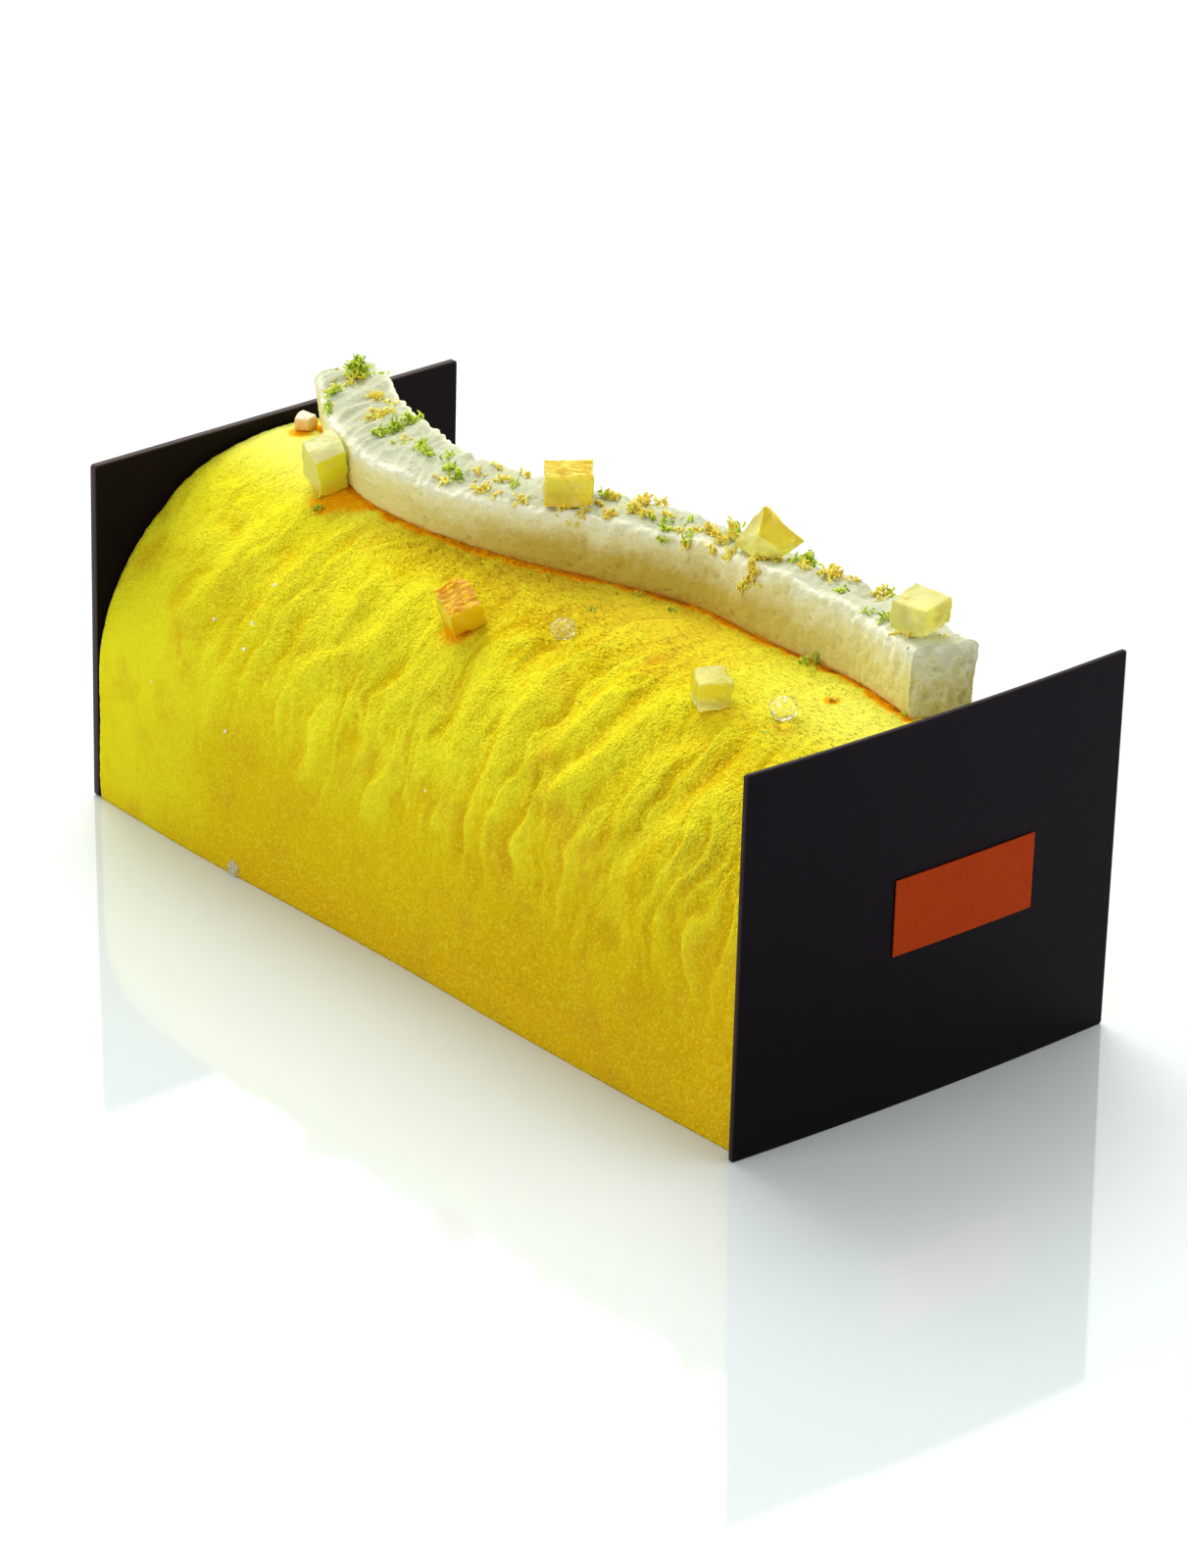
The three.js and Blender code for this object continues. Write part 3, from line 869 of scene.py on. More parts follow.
CRESTS = (
    Crest(45, 60, 0.4, (-76, -75, -73)),
    Crest(43, 72, 1, (-68.5, -65, -63, -62, -61)),
    Crest(28, 42, 0.3, (-54, -55, -56)),
    Crest(48, 66, 0.7, (-49.5, -49.2, -48)),
    Crest(56, 70, 0.5, (-35.5, -35, -35.5)),
    Crest(44, 53, 0.6, (-34.5, -29.5, -22.5)),
    Crest(52, 67, 0.7, (-30, -31.3, -30, -29.5)),
    Crest(28, 42, 0.45, (-23.5, -23.8, -20.5)),
    Crest(53, 69, 1.1, (-21.2, -19.8, -19, -20)),
    Crest(48, 60, 0.7, (-6.5, -8.5, -10.5)),
    Crest(28, 46, 0.4, (6.5, 3.5, -0.5)),
    Crest(60, 74, 0.4, (3, 4.5, 5)),
    Crest(44, 60, 0.8, (10.5, 8.8, 7)),
    Crest(42, 76, 1, (19, 20, 19, 18.5, 19, 20.5)),
    Crest(24, 44, 0.4, (27, 21.5, 22.5)),
    Crest(50, 74, 1.2, (30.5, 32.5, 33.2, 34, 36)),
    Crest(57, 66, 0.5, (36, 38)),
    Crest(45, 73, 1.2, (34.5, 40, 43.5, 45, 45.5)),
    Crest(44, 60, 0.5, (50.5, 51.5, 52.5)),
    Crest(58, 76, 0.5, (55, 60, 61.5)),
    Crest(40, 63, 1, (60, 62.8, 64.7, 66, 66.5)),
    Crest(22, 44, 0.45, (66, 63.5, 61.5)),
    Crest(38, 60, 0.6, (71.5, 69.5, 70.5)),
)


@dataclass(frozen=True)
class LogForm:
    """The log's section and its coat's crests in millimetres."""

    half_widths: tuple[float, ...] = (42.4, 42.8, 41.9, 41.2, 41.3, 40.8, 39.9)
    mean_half_width: float = 41.0
    reach: float = 90.0
    top: float = 64.4
    side: float = 23.0
    foot_tuck: float = 0.3
    foot_round: float = 5.0
    crest_height: float = 1.3
    crest_steep: float = 2.6
    crest_gentle: float = 6.0
    crest_fade: float = 4.0
    hollow_depth: float = 0.45
    hollow_away: float = 6.0
    hollow_width: float = 3.0
    back_shift: float = 9.0
    back_fade: Range = (50.0, 58.0)
    swell: float = 0.35

    @property
    def rise(self) -> float:
        """Height of the arch over the straight sides."""
        return self.top - self.side

    @property
    def arch(self) -> float:
        """Length of the arch from a side to the crown."""
        return math.pi / 2 * math.sqrt((self.mean_half_width**2 + self.rise**2) / 2)

    @property
    def half_girth(self) -> float:
        """Length around the section from a foot to the crown."""
        return self.side + self.arch

    def half_width(self, x: Array) -> Array:
        """Half of the log's width at a place along it."""
        return along(self.half_widths, (np.asarray(x, float) + self.reach) / (2 * self.reach))

    def relief(self, x: Array, girth: Array) -> Array:
        """Relief of the coat, outwards.

        Args:
            x: places along the log.
            girth: lengths around the section from the front foot.

        Returns:
            The relief in millimetres.
        """
        x, girth = np.broadcast_arrays(np.asarray(x, float), np.asarray(girth, float))
        near = np.minimum(girth, 2 * self.half_girth - girth)
        back = girth > self.half_girth
        shown = np.where(back, 1 - eased(near, *self.back_fade), 1.0)
        crests = np.zeros(x.shape)
        for crest in CRESTS:
            rise = eased(near, crest.start - self.crest_fade, crest.start + self.crest_fade)
            fall = 1 - eased(near, crest.end - self.crest_fade, crest.end + self.crest_fade)
            line = along(crest.places, (near - crest.start) / (crest.end - crest.start))
            away = x - line + np.where(back, self.back_shift, 0.0)
            reach = np.where(away < 0, self.crest_steep, self.crest_gentle)
            peak = np.exp(-(np.abs(away / reach) ** 1.7))
            hollow = self.hollow_depth * np.exp(-(((away + self.hollow_away) / self.hollow_width) ** 2))
            crests += crest.size * rise * fall * (peak - hollow)
        swell = np.sin(x / 15 + near / 10) * np.sin(near / 16 - x / 31)
        return self.crest_height * crests * shown + self.swell * swell * eased(near, 0, 12)

    def section(self, x: Array, girth: Array, inset: float | Array = 0.0) -> tuple[Array, Array]:
        """Place across and height of the surface.

        Args:
            x: places along the log.
            girth: lengths around the section from the front foot.
            inset: how far the point lies under the surface.

        Returns:
            Y and Z in millimetres.
        """
        near = np.minimum(girth, 2 * self.half_girth - girth)
        hand = np.where(girth <= self.half_girth, -1.0, 1.0)
        out = self.relief(x, girth) - inset
        tuck = self.foot_tuck * np.maximum(0, 1 - near / self.foot_round) ** 2
        angle = np.pi / 2 * np.clip((near - self.side) / self.arch, 0, 1)
        upright = near <= self.side
        half = self.half_width(x) + out
        y = np.where(upright, half - tuck, half * np.cos(angle))
        z = np.where(upright, near, self.side + (self.rise + out) * np.sin(angle))
        return hand * y, z

    def height(self, x: Array, y: Array) -> Array:
        """Height of the surface over a place in plan.

        Args:
            x: places along the log.
            y: places across.

        Returns:
            Z in millimetres.
        """
        out = np.zeros(np.broadcast(x, y).shape)
        angle = out
        for _ in range(3):
            angle = np.arccos(np.clip(np.abs(y) / (self.half_width(x) + out), 0, 1))
            near = self.side + self.arch * angle / (np.pi / 2)
            out = self.relief(x, np.where(np.asarray(y) < 0, near, 2 * self.half_girth - near))
        return self.side + (self.rise + out) * np.sin(angle)

    def slope(self, y: float) -> float:
        """Angle of the smooth surface across, in radians."""
        share = y / self.mean_half_width
        return math.atan(self.rise * share / self.mean_half_width / math.sqrt(1 - share**2))


LOG_FORM = LogForm()


@dataclass(frozen=True)
class BarForm:
    """The meringue bar's path and section in millimetres."""

    start: float = -81.6
    end: float = 81.4
    across: tuple[float, ...] = (11.7, 1.8, -1.8, 0, 6.3, 13.6, 13.2, 15.1, 10.9)
    width: tuple[float, ...] = (12.5, 15.8, 13.1, 13.1, 13.4, 12.6, 13.2)
    height: tuple[float, ...] = (13, 11.3, 11, 12.4, 13, 13.6, 13.5)
    lean: tuple[float, ...] = (-6.9, -9.2, 10.6, 2.9)
    pinch: float = 0.16
    rough: float = 0.25
    gap: float = 0.45

    def point(self, t: Array, v: Array, h: Array) -> Array:
        """Points of the bar.

        Args:
            t: shares of its length.
            v: shares across, from -0.5 at the front to 0.5 at the back.
            h: shares of its height.

        Returns:
            Rows of X, Y and Z.
        """
        t, v, h = np.broadcast_arrays(*(np.asarray(a, float) for a in (t, v, h)))
        step = 0.01
        x = self.start + (self.end - self.start) * t
        y = along(self.across, t)
        after, before = np.minimum(1, t + step), np.maximum(0, t - step)
        rise = along(self.across, after) - along(self.across, before)
        turn = np.arctan2(rise, (self.end - self.start) * (after - before))
        lean = np.radians(along(self.lean, t))
        width = along(self.width, t)
        cosine = np.cos(turn)
        across = np.stack([-np.sin(turn), cosine * np.cos(lean), -cosine * np.sin(lean)], -1)
        up = np.stack([0 * lean, np.sin(lean), np.cos(lean)], -1)
        foot = np.stack([x, y, LOG_FORM.height(x, y) + self.gap], -1)
        rough = self.rough * (np.sin(x / 1.9 + 5 * v) + np.sin(x / 3.1 - 3 * v))
        top = foot + across * (v * width)[..., None] + up * (along(self.height, t) + rough)[..., None]
        base = foot + across * (width * (v - self.pinch * np.maximum(0, v)))[..., None]
        base[..., 2] = LOG_FORM.height(base[..., 0], base[..., 1]) + self.gap
        return base + (top - base) * h[..., None]

    def share_at(self, x: float) -> float:
        """Share of the length at a place along X."""
        return (x - self.start) / (self.end - self.start)


BAR_FORM = BarForm()


# Pieces


@dataclass
class Log:
    """The velvet-coated log."""

    columns: int = 352
    rows_front: int = 196
    rows_back: int = 82
    fine_past_crown: float = 8.0
    gap: float = 0.3
    rim_round: float = 0.3
    wrinkle_depth: float = 0.78
    ripple_depth: float = 1.1
    terrace_depth: float = 0.75
    terrace_size: float = 6.5
    grain_depth: float = 0.19
    wrinkle_size: float = 5.5
    ripple_size: float = 3.2
    grain_size: float = 1.2
    seed: float = 3.0
    warp: float = 16.0
    terrace_front: float = 0.16
    syrup_and_shade_reach: float = 6
    # painted shade in the coat's hollows, per mm of relief
    hollow_shade_tone: float = 0.34
    far_foot_tone: float = 0.65
    most_foot: float = 0.95
    finish: VelvetFinish = field(default_factory=VelvetFinish)

    def girths(self) -> Array:
        """Lengths around the section where the rings have points, closer together on the front.

        Returns:
            The lengths in millimetres.
        """
        split = LOG_FORM.half_girth + self.fine_past_crown
        front = np.linspace(0, split, self.rows_front, endpoint=False)
        return np.concatenate([front, np.linspace(split, 2 * LOG_FORM.half_girth, self.rows_back)])

    def surface(self) -> tuple[Array, Array, Array]:
        """Rings of the smooth log with its ridges.

        Returns:
            The points in millimetres, and X and the girth at each.
        """
        form = LOG_FORM
        girth = self.girths()[None, ::-1]
        share = np.linspace(0, 1, self.columns + 1)[:, None]
        ends = np.minimum(share, 1 - share) * NEAR_PLATE.span
        inset = self.rim_round * np.maximum(0, 1 - ends / self.rim_round) ** 2
        y, z = form.section(0 * share, girth)
        x = self.between(share, y, z)
        y, z = form.section(x, girth, inset)
        x = self.between(share, y, z)
        return np.stack([x, y, z], -1), x, np.broadcast_to(girth, x.shape)

    def between(self, share: Array, y: Array, z: Array) -> Array:
        """X at a share of the way from the far plate to the near one."""
        start = FAR_PLATE.inner_face(y, z) + self.gap
        return start + (NEAR_PLATE.inner_face(y, z) - self.gap - start) * share

    def tones(self, x: Array, girth: Array) -> dict[str, Array]:
        """What the colours follow.

        Args:
            x: places along the log.
            girth: girths from the front foot.

        Returns:
            By name, from 0 to 1, what the finish reads.
        """
        near = np.minimum(girth, 2 * LOG_FORM.half_girth - girth)
        values = {name: np.full(x.shape, start) for name, start in TONE_STARTS.items()}
        # painted shade: darker where the coat's relief dips
        values["hollow"] -= self.hollow_shade_tone * LOG_FORM.relief(x, girth)
        for name, amount, *ramps in TONES:
            shares = [eased(x if axis == "x" else near, low, high) for axis, low, high in ramps]
            values[name] += amount * math.prod(shares)
        values["foot_warmth"] *= 1 - self.far_foot_tone * eased(x, -15, -75)
        values["foot_warmth"] = np.minimum(values["foot_warmth"], self.most_foot)
        for spot_x, spot_girth, reach, amount in RUBBED_SPOTS:
            away = np.hypot(x - spot_x, (girth - spot_girth) * 0.8)
            values["rubbed"] = np.maximum(values["rubbed"], amount * eased(away, reach, reach * 0.2))
        return {name: np.clip(value, 0, 1) for name, value in values.items()}

    def syrup_glow_and_shade_share(self, points: Array) -> Array:
        """How much syrup stain and painted contact shade colour the coat beside the bar, and syrup with a
        painted glow under the candied pieces.

        Args:
            points: rings of points in millimetres.

        Returns:
            From 0 to 1 for each point.
        """
        t = np.linspace(0, 1, 160)
        foot = np.concatenate([BAR_FORM.point(t, v, 0.0) for v in (-0.5, 0.42)])
        flat = points.reshape(-1, 3)
        away = np.full(len(flat), 99.0)
        for x, y, _ in foot:
            away = np.minimum(away, np.hypot(flat[:, 0] - x, flat[:, 1] - y))
        close = away < self.syrup_and_shade_reach
        uneven = np.zeros(len(flat))
        uneven[close] = grain(flat[close], (1.6, 1.6, 1.6), 8) + 0.6 * grain(flat[close], (5, 5, 5), 9)
        # painted contact shade, with syrup, in a band along the bar's foot
        syrup_glow_and_shade_share = eased(away - 0.8 * uneven, 1.7, 0.1)
        # syrup with a painted glow under the candied pieces and beads
        for x, y, reach, amount in SYRUP_AND_GLOW_SPOTS:
            away = np.hypot(flat[:, 0] - x, flat[:, 1] - y)
            syrup_glow_and_shade_share = np.maximum(syrup_glow_and_shade_share, amount * eased(away, reach, reach * 0.3))
        return syrup_glow_and_shade_share * (flat[:, 2] > LOG_FORM.side)

    def relief_recipe(self) -> Recipe:
        """Draws the tree that adds the wrinkles, the terraces and the grain of the spray.

        Returns:
            The tree.
        """
        recipe = Recipe("velvet_relief")
        depth, size = recipe.input("Wrinkle depth"), recipe.input("Wrinkle size")
        step, run = recipe.input("Terrace depth"), recipe.input("Terrace size")
        grain_depth, grain_size = recipe.input("Grain depth"), recipe.input("Grain size")
        seed = recipe.input("Seed")
        place = recipe.field("unrolled", "FLOAT_VECTOR")
        warp = recipe.noise(place, seed, 14.0, 1.5).outputs["Color"]
        bent = recipe.vector("ADD", a=place, b=recipe.vector("SCALE", a=warp, scale=self.warp))
        narrow = recipe.vector("MULTIPLY", a=bent, b=(1.0, 0.3, 1.0))
        dune = recipe.less(recipe.noise(narrow, seed, size, 2.5).outputs[0], 0.5)
        dune = recipe.less(0.6, recipe.math("ABSOLUTE", recipe.times(dune, 4.0)))
        axes = recipe.add("ShaderNodeSeparateXYZ", {0: bent}).outputs
        phase = recipe.plus(axes[0], recipe.times(axes[1], -0.12))
        saw = recipe.math("FRACT", recipe.math("DIVIDE", phase, run))
        rise = recipe.math("DIVIDE", saw, self.terrace_front)
        fall = recipe.math("DIVIDE", recipe.less(1.0, saw), 1 - self.terrace_front)
        peak = recipe.math("POWER", recipe.math("MINIMUM", rise, fall), 1.5)
        shown = recipe.span(recipe.noise(narrow, seed, 9.0, 1.0).outputs[0], 0.44, 0.60)
        terrace = recipe.times(recipe.less(peak, 0.3), recipe.times(shown, step))
        fine = recipe.less(recipe.noise(place, seed, grain_size, 2.0).outputs[0], 0.5)
        fine = recipe.times(recipe.times(fine, 2.0), grain_depth)
        folds = recipe.plus(recipe.times(dune, depth), terrace)
        thin = recipe.vector("MULTIPLY", a=bent, b=(1.0, 0.45, 1.0))
        ripple = recipe.less(recipe.noise(thin, seed, recipe.input("Ripple size")).outputs[0], 0.5)
        ripple = recipe.less(0.25, recipe.math("ABSOLUTE", ripple))
        ripple = recipe.times(ripple, recipe.input("Ripple depth"))
        folds = recipe.times(recipe.plus(folds, ripple), recipe.field("calm"))
        total = recipe.plus(folds, fine)
        metres = recipe.times(recipe.times(total, recipe.field("coat")), MM)
        normal = recipe.add("GeometryNodeInputNormal").outputs[0]
        push = recipe.vector("SCALE", a=normal, scale=metres)
        inputs = {"Geometry": recipe.entry.outputs[0], "Name": "folds", "Value": folds}
        marked = recipe.add("GeometryNodeStoreNamedAttribute", inputs, data_type="FLOAT", domain="POINT")
        inputs = {"Geometry": marked.outputs[0], "Offset": push}
        recipe.end(recipe.add("GeometryNodeSetPosition", inputs).outputs[0])
        return recipe

    def build(self) -> Piece:
        """Makes the log.

        Returns:
            The finished piece.
        """
        points, x, girth = self.surface()
        faces = (FAR_PLATE.inner_face(0, 0) + self.gap, NEAR_PLATE.inner_face(0, 0) - self.gap)
        centres = [[x_end, 0, 0] for x_end in faces]
        mesh = make_mesh("velvet_log", in_frame(points), in_frame(centres))
        near = np.minimum(girth, 2 * LOG_FORM.half_girth - girth)
        coat = eased(near, 0.2, 3)
        calm = 1 - 0.6 * eased(x, -20, -60) * eased(near, 62, 44)
        calm *= (0.25 + 0.75 * eased(near, 16, 44)) * eased(near, 1, 14) * (1 - 0.55 * eased(near, 68, 84))
        rows = self.tones(x, girth) | {"syrup_glow_and_shade": self.syrup_glow_and_shade_share(points), "coat": coat, "calm": calm}
        for name, values in rows.items():
            note(mesh, name, np.append(np.asarray(values).ravel(), [0, 0]))
        unrolled = np.stack([x, girth, 0 * x], -1).reshape(-1, 3)
        note(mesh, "unrolled", np.concatenate([unrolled, np.zeros((2, 3))]))
        piece = put("velvet_log", mesh)
        values = {"Wrinkle depth": self.wrinkle_depth, "Wrinkle size": self.wrinkle_size}
        values |= {"Terrace depth": self.terrace_depth, "Terrace size": self.terrace_size}
        values |= {"Ripple depth": self.ripple_depth, "Ripple size": self.ripple_size}
        values |= {"Grain depth": self.grain_depth, "Grain size": self.grain_size}
        values |= {"Seed": self.seed, "Finish": self.finish.build()}
        self.relief_recipe().run(piece, values)
        low, high = (np.array(corner) for corner in CAD_BOX)
        move_points(piece.data, np.clip(points_of(piece.data), low, high))
        piece.data.shade_smooth()
        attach(piece, BODY)
        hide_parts("log_body")
        return piece


# What each tone of the coat starts from
TONE_STARTS = {
    "hollow": 0.36, "foot_warmth": 0.0, "coarse": 0.40, "pale": 0.0,
    "dents": 0.0, "rubbed": 0.0, "blush": 0.35,
}


# Added to a tone: amount, then ramps from 0 to 1 along X or along the girth from the nearer foot
TONES = (
    # painted shade on hollow: darker down the side, towards the near end and beside the bar; the negative row
    # is painted light at the far low end
    ("hollow", 0.28, ("girth", 72, 30)),
    ("hollow", 0.6, ("x", 0, 50), ("girth", 84, 62)),
    ("hollow", 0.85, ("girth", 58, 76), ("x", -56, -34), ("x", 56, 24)),
    ("hollow", -0.5, ("x", -30, -80), ("girth", 56, 36)),
    ("foot_warmth", 0.8, ("girth", 12, 0)),
    ("foot_warmth", 0.55, ("girth", 45, 8)),
    ("foot_warmth", 0.5, ("x", 72, 90), ("girth", 82, 60)),
    ("coarse", 0.40, ("girth", 36, 50), ("girth", 86, 72)),
    ("coarse", -0.3, ("x", -50, -85)),
    # painted sheen on the crown, strongest towards both ends
    ("pale", 0.12, ("girth", 68, 86)),
    ("pale", 0.85, ("girth", 68, 86), ("x", -30, -70)),
    ("pale", 0.5, ("girth", 68, 86), ("x", 40, 80)),
    ("blush", 0.5, ("girth", 60, 40)),
    ("blush", 0.5, ("girth", 66, 78), ("x", -40, -10), ("x", 60, 35)),
    ("dents", 1.0, ("girth", 66, 74), ("x", -45, -25)),
)


# Places on the coat coloured by syrup and by a painted glow under the candied pieces: X, Y, reach and
# strength
SYRUP_AND_GLOW_SPOTS = (
    (-57.5, -11.5, 6.5, 0.62), (-53.0, -9.0, 5.5, 0.6), (-6.6, -22.2, 5.0, 0.6), (52.3, -14.8, 4.6, 0.22),
    (14.5, -16.5, 3.2, 0.2), (67.0, -12.0, 3.4, 0.2), (-84.0, 1.0, 3.5, 0.55), (66.5, -0.5, 2.2, 0.7),
)


# Spots where the coat is rubbed or thin: X, girth from the front foot, reach and strength
RUBBED_SPOTS = (
    (22.9, 62.3, 5.0, 0.45), (29.0, 51.7, 6.0, 0.6), (48.9, 38.5, 6.5, 0.6), (-59.8, 52.2, 6.5, 0.5),
    (-64.2, 39.0, 6.5, 0.5), (54.1, 10.2, 4.5, 1.0), (67.6, 10.7, 4.0, 0.6), (35.4, 76.3, 6.0, 0.95),
    (1.0, 53.0, 4.5, 0.35), (38.0, 44.0, 4.0, 0.3), (-30.0, 22.0, 7.0, 0.3), (10.0, 18.0, 6.0, 0.3),
)


@dataclass
class MeringueBar:
    """The curved bar of soft meringue."""

    stations: int = 400
    steps_wide: int = 44
    steps_high: int = 36
    cap_rings: int = 22
    squareness: float = 7.5
    sink: float = 0.55
    least_ring: float = 0.06
    contact_tone: float = 0.85
    finish: MeringueFinish = field(default_factory=MeringueFinish)

    def outline(self) -> tuple[Array, Array]:
        """Points around a section.

        Returns:
            Their shares across and up.
        """
        wide = np.linspace(-1, 1, self.steps_wide, endpoint=False)
        high = np.linspace(-1, 1, self.steps_high, endpoint=False)
        a = np.concatenate([wide, np.ones(self.steps_high), -wide, -np.ones(self.steps_high)])
        b = np.concatenate([-np.ones(self.steps_wide), high, np.ones(self.steps_wide), -high])
        n = self.squareness
        size = (np.abs(a) ** n + np.abs(b) ** n) ** (-1 / n)
        return 0.5 * a * size, 0.5 * b * size

    def build(self) -> Piece:
        """Makes the bar.

        Returns:
            The finished piece.
        """
        v, h = self.outline()
        shrink = np.sin(np.linspace(self.least_ring, 1, self.cap_rings) * np.pi / 2)
        scale = np.concatenate([shrink[:-1], np.ones(self.stations + 1), shrink[-2::-1]])
        flat = np.ones(self.cap_rings - 1)
        t = np.concatenate([0 * flat, np.linspace(0, 1, self.stations + 1), flat])
        cap = np.concatenate([flat, np.zeros(self.stations + 1), flat])
        t, scale, cap = t[:, None], scale[:, None], cap[:, None]
        rows = BAR_FORM.point(t, v * scale, 0.5 + h * scale)
        rows[..., 2] -= self.sink * np.maximum(0, 0.5 - h * scale)
        ends = [BAR_FORM.point(e, 0.0, 0.5) for e in (0.0, 1.0)]
        mesh = make_mesh("meringue", in_frame(rows), in_frame(ends))
        across = np.append((v * scale + 0 * t).ravel(), [0, 0])
        up = np.append((0.5 + h * scale + 0 * t).ravel(), [0.5, 0.5])
        x = BAR_FORM.start + np.append((t + 0 * v).ravel(), [0, 1]) * (BAR_FORM.end - BAR_FORM.start)
        cap = np.append((cap + 0 * v).ravel(), [1, 1])
        self.roughen(mesh, x, across, up, cap)
        on_top = eased(up, 0.93, 1.0) * (1 - cap)
        # down: lower on the sides, where painted shade and bounce light deepen the colour and flecks gather
        note(mesh, "down", (1 - up) * (1 - on_top) * (1 - 0.45 * cap))
        # top: where the painted shade of the top lies
        note(mesh, "top", eased(up, 0.96, 1.0) * (1 - cap))
        note(mesh, "warm", eased(x, -55, -5) * (1 - 0.7 * eased(x, 30, 66)) * (1 - 0.5 * cap))
        uneven = grain(np.stack([x, 12 * across, 12 * up], -1), (1.8, 2.0, 2.0), 12)
        note(mesh, "contact", eased(up + 0.05 * uneven, 0.09, 0.0) * self.contact_tone)
        mesh.materials.append(self.finish.build())
        piece = put("meringue", mesh)
        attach(piece, BODY)
        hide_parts("meringue_bar")
        return piece

    def roughen(self, mesh: Mesh, x: Array, across: Array, up: Array, cap: Array) -> None:
        """Adds torn folds on top, streaks and pits on the sides, and blunt uneven edges.

        Args:
            mesh: the bar.
            x: each point's place along the bar.
            across: its share of the width.
            up: its share of the height.
            cap: 1 on the end faces.
        """
        place = np.stack([x, across * 14, up * 12], -1)
        top = eased(up, 0.86, 0.96) * (1 - cap)
        far, near = eased(x, -15, -65), eased(x, 20, 72)
        bend = 2.2 * grain(place, (9.0, 9.0, 9.0), 21)
        folded = place + np.stack([bend + across * 5, 0 * bend, 0 * bend], -1)
        folds = 0.55 - 2.4 * np.abs(grain(folded, (3.4, 11.0, 8.0), 1))
        ripples = 1.6 * grain(folded, (1.3, 4.0, 3.0), 2) + 0.8 * grain(place, (0.9, 0.9, 0.9), 15)
        lumps = grain(place, (5.0, 5.0, 4.0), 3)
        streaks = grain(place, (1.0, 1.3, 8.0), 4) * (0.12 + 0.18 * near)
        knobs = grain(place, (1.9, 1.9, 2.4), 7) * (0.22 + 0.10 * near + 0.2 * cap)
        knobs += 0.16 * grain(place, (0.9, 0.9, 0.9), 14)
        pits = -0.5 * eased(grain(place, (1.6, 1.6, 1.8), 5), 0.42, 0.62)
        soft = grain(place, (7.0, 5.0, 6.0), 6) * 0.3
        edge = eased(np.abs(across), 0.42, 0.49) * eased(up, 0.8, 0.95)
        out = top * ((0.34 + 0.3 * far) * folds + 0.2 * ripples + lumps * (0.3 + 0.45 * far))
        out += (1 - top) * (streaks + knobs + pits + soft) + edge * 0.55 * grain(place, (1.3, 1.3, 1.3), 9)
        out *= eased(up, 0.0, 0.12)
        move_points(mesh, points_of(mesh) + normals_of(mesh) * (out * MM)[:, None])


@dataclass
class ChocolatePlate:
    """A thin end plate with softly rounded edges."""

    form: Plate
    node: str
    name: str
    edge: float = 0.16
    cut_tone: float = 1.0
    corner_steps: int = 7
    side_steps: int = 22
    face_rings: int = 14

    def build(self, finish: Material) -> Piece:
        """Makes the plate.

        Args:
            finish: the chocolate's material.

        Returns:
            The finished piece.
        """
        form, edge = self.form, self.edge
        ring = self.rounded_outline()
        half = np.array([form.width / 2, form.height / 2])
        levels = [(0, 3.0, 0), (0, 2.4 * edge, 0), (0, edge, 0.5), (0.3 * edge, 0.3 * edge, 1), (edge, 0, 1)]
        levels += [(form.thick - depth, inset, cut) for depth, inset, cut in reversed(levels)]
        middle = np.linspace(0.04, 0.9, self.face_rings)
        rows = [self.at(ring * s, 0.0) for s in middle]
        rows += [self.at(ring * (1 - inset / half), depth / form.thick) for depth, inset, _ in levels]
        rows = np.array(rows + [self.at(ring * s, 1.0) for s in middle[::-1]])
        plain = [0.0] * self.face_rings
        cuts = plain + [cut * self.cut_tone for _, _, cut in levels] + plain
        if form.side < 0:
            rows = rows[:, ::-1]
        ends = [self.at(np.zeros((1, 2)), depth)[0] for depth in (0.0, 1.0)]
        mesh = make_mesh(self.name, in_frame(rows), in_frame(ends))
        note(mesh, "cut", np.append(np.repeat(cuts, len(ring)), [0, 0]))
        work = bmesh.new()
        work.from_mesh(mesh)
        bmesh.ops.recalc_face_normals(work, faces=work.faces)
        work.to_mesh(mesh)
        work.free()
        mesh.materials.append(finish)
        piece = put(self.name, mesh)
        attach(piece, BODY)
        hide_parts(self.node)
        return piece

    def rounded_outline(self) -> Array:
        """Points around a rectangle with rounded corners, about its middle.

        Returns:
            Rows of places across and up.
        """
        core = np.array([self.form.width, self.form.height]) / 2 - self.form.corner
        points = []
        for quarter, signs in enumerate([(1, 1), (-1, 1), (-1, -1), (1, -1), (1, 1)]):
            angle = np.radians(np.linspace(quarter * 90, quarter * 90 + 90, self.corner_steps))
            arc = np.array(signs) * core + self.form.corner * np.stack([np.cos(angle), np.sin(angle)], -1)
            if points:
                share = np.linspace(0, 1, self.side_steps)[1:-1, None]
                points.append(points[-1][-1] + (arc[0] - points[-1][-1]) * share)
            if quarter < 4:
                points.append(arc)
        return np.concatenate(points)

    def at(self, flat: Array, depth: float) -> Array:
        """Points of the plate at places from its middle and a share of its thickness.

        Args:
            flat: rows of places across and up from the middle.
            depth: share of the thickness, from the inner face.

        Returns:
            Rows of X, Y and Z.
        """
        form = self.form
        y, z = flat[:, 0] + form.centre, flat[:, 1] + form.height / 2
        x = form.inner_face(y, z) + form.side * depth * form.thick
        return np.stack([x, y, z], -1)


@dataclass(frozen=True)
class Candy:
    """One candied piece: its node, how it was turned in the source, and its finish."""

    node: str
    slot: str
    at: Range
    size: Place
    turn: Place
    follow: float
    finish: CandiedFinish


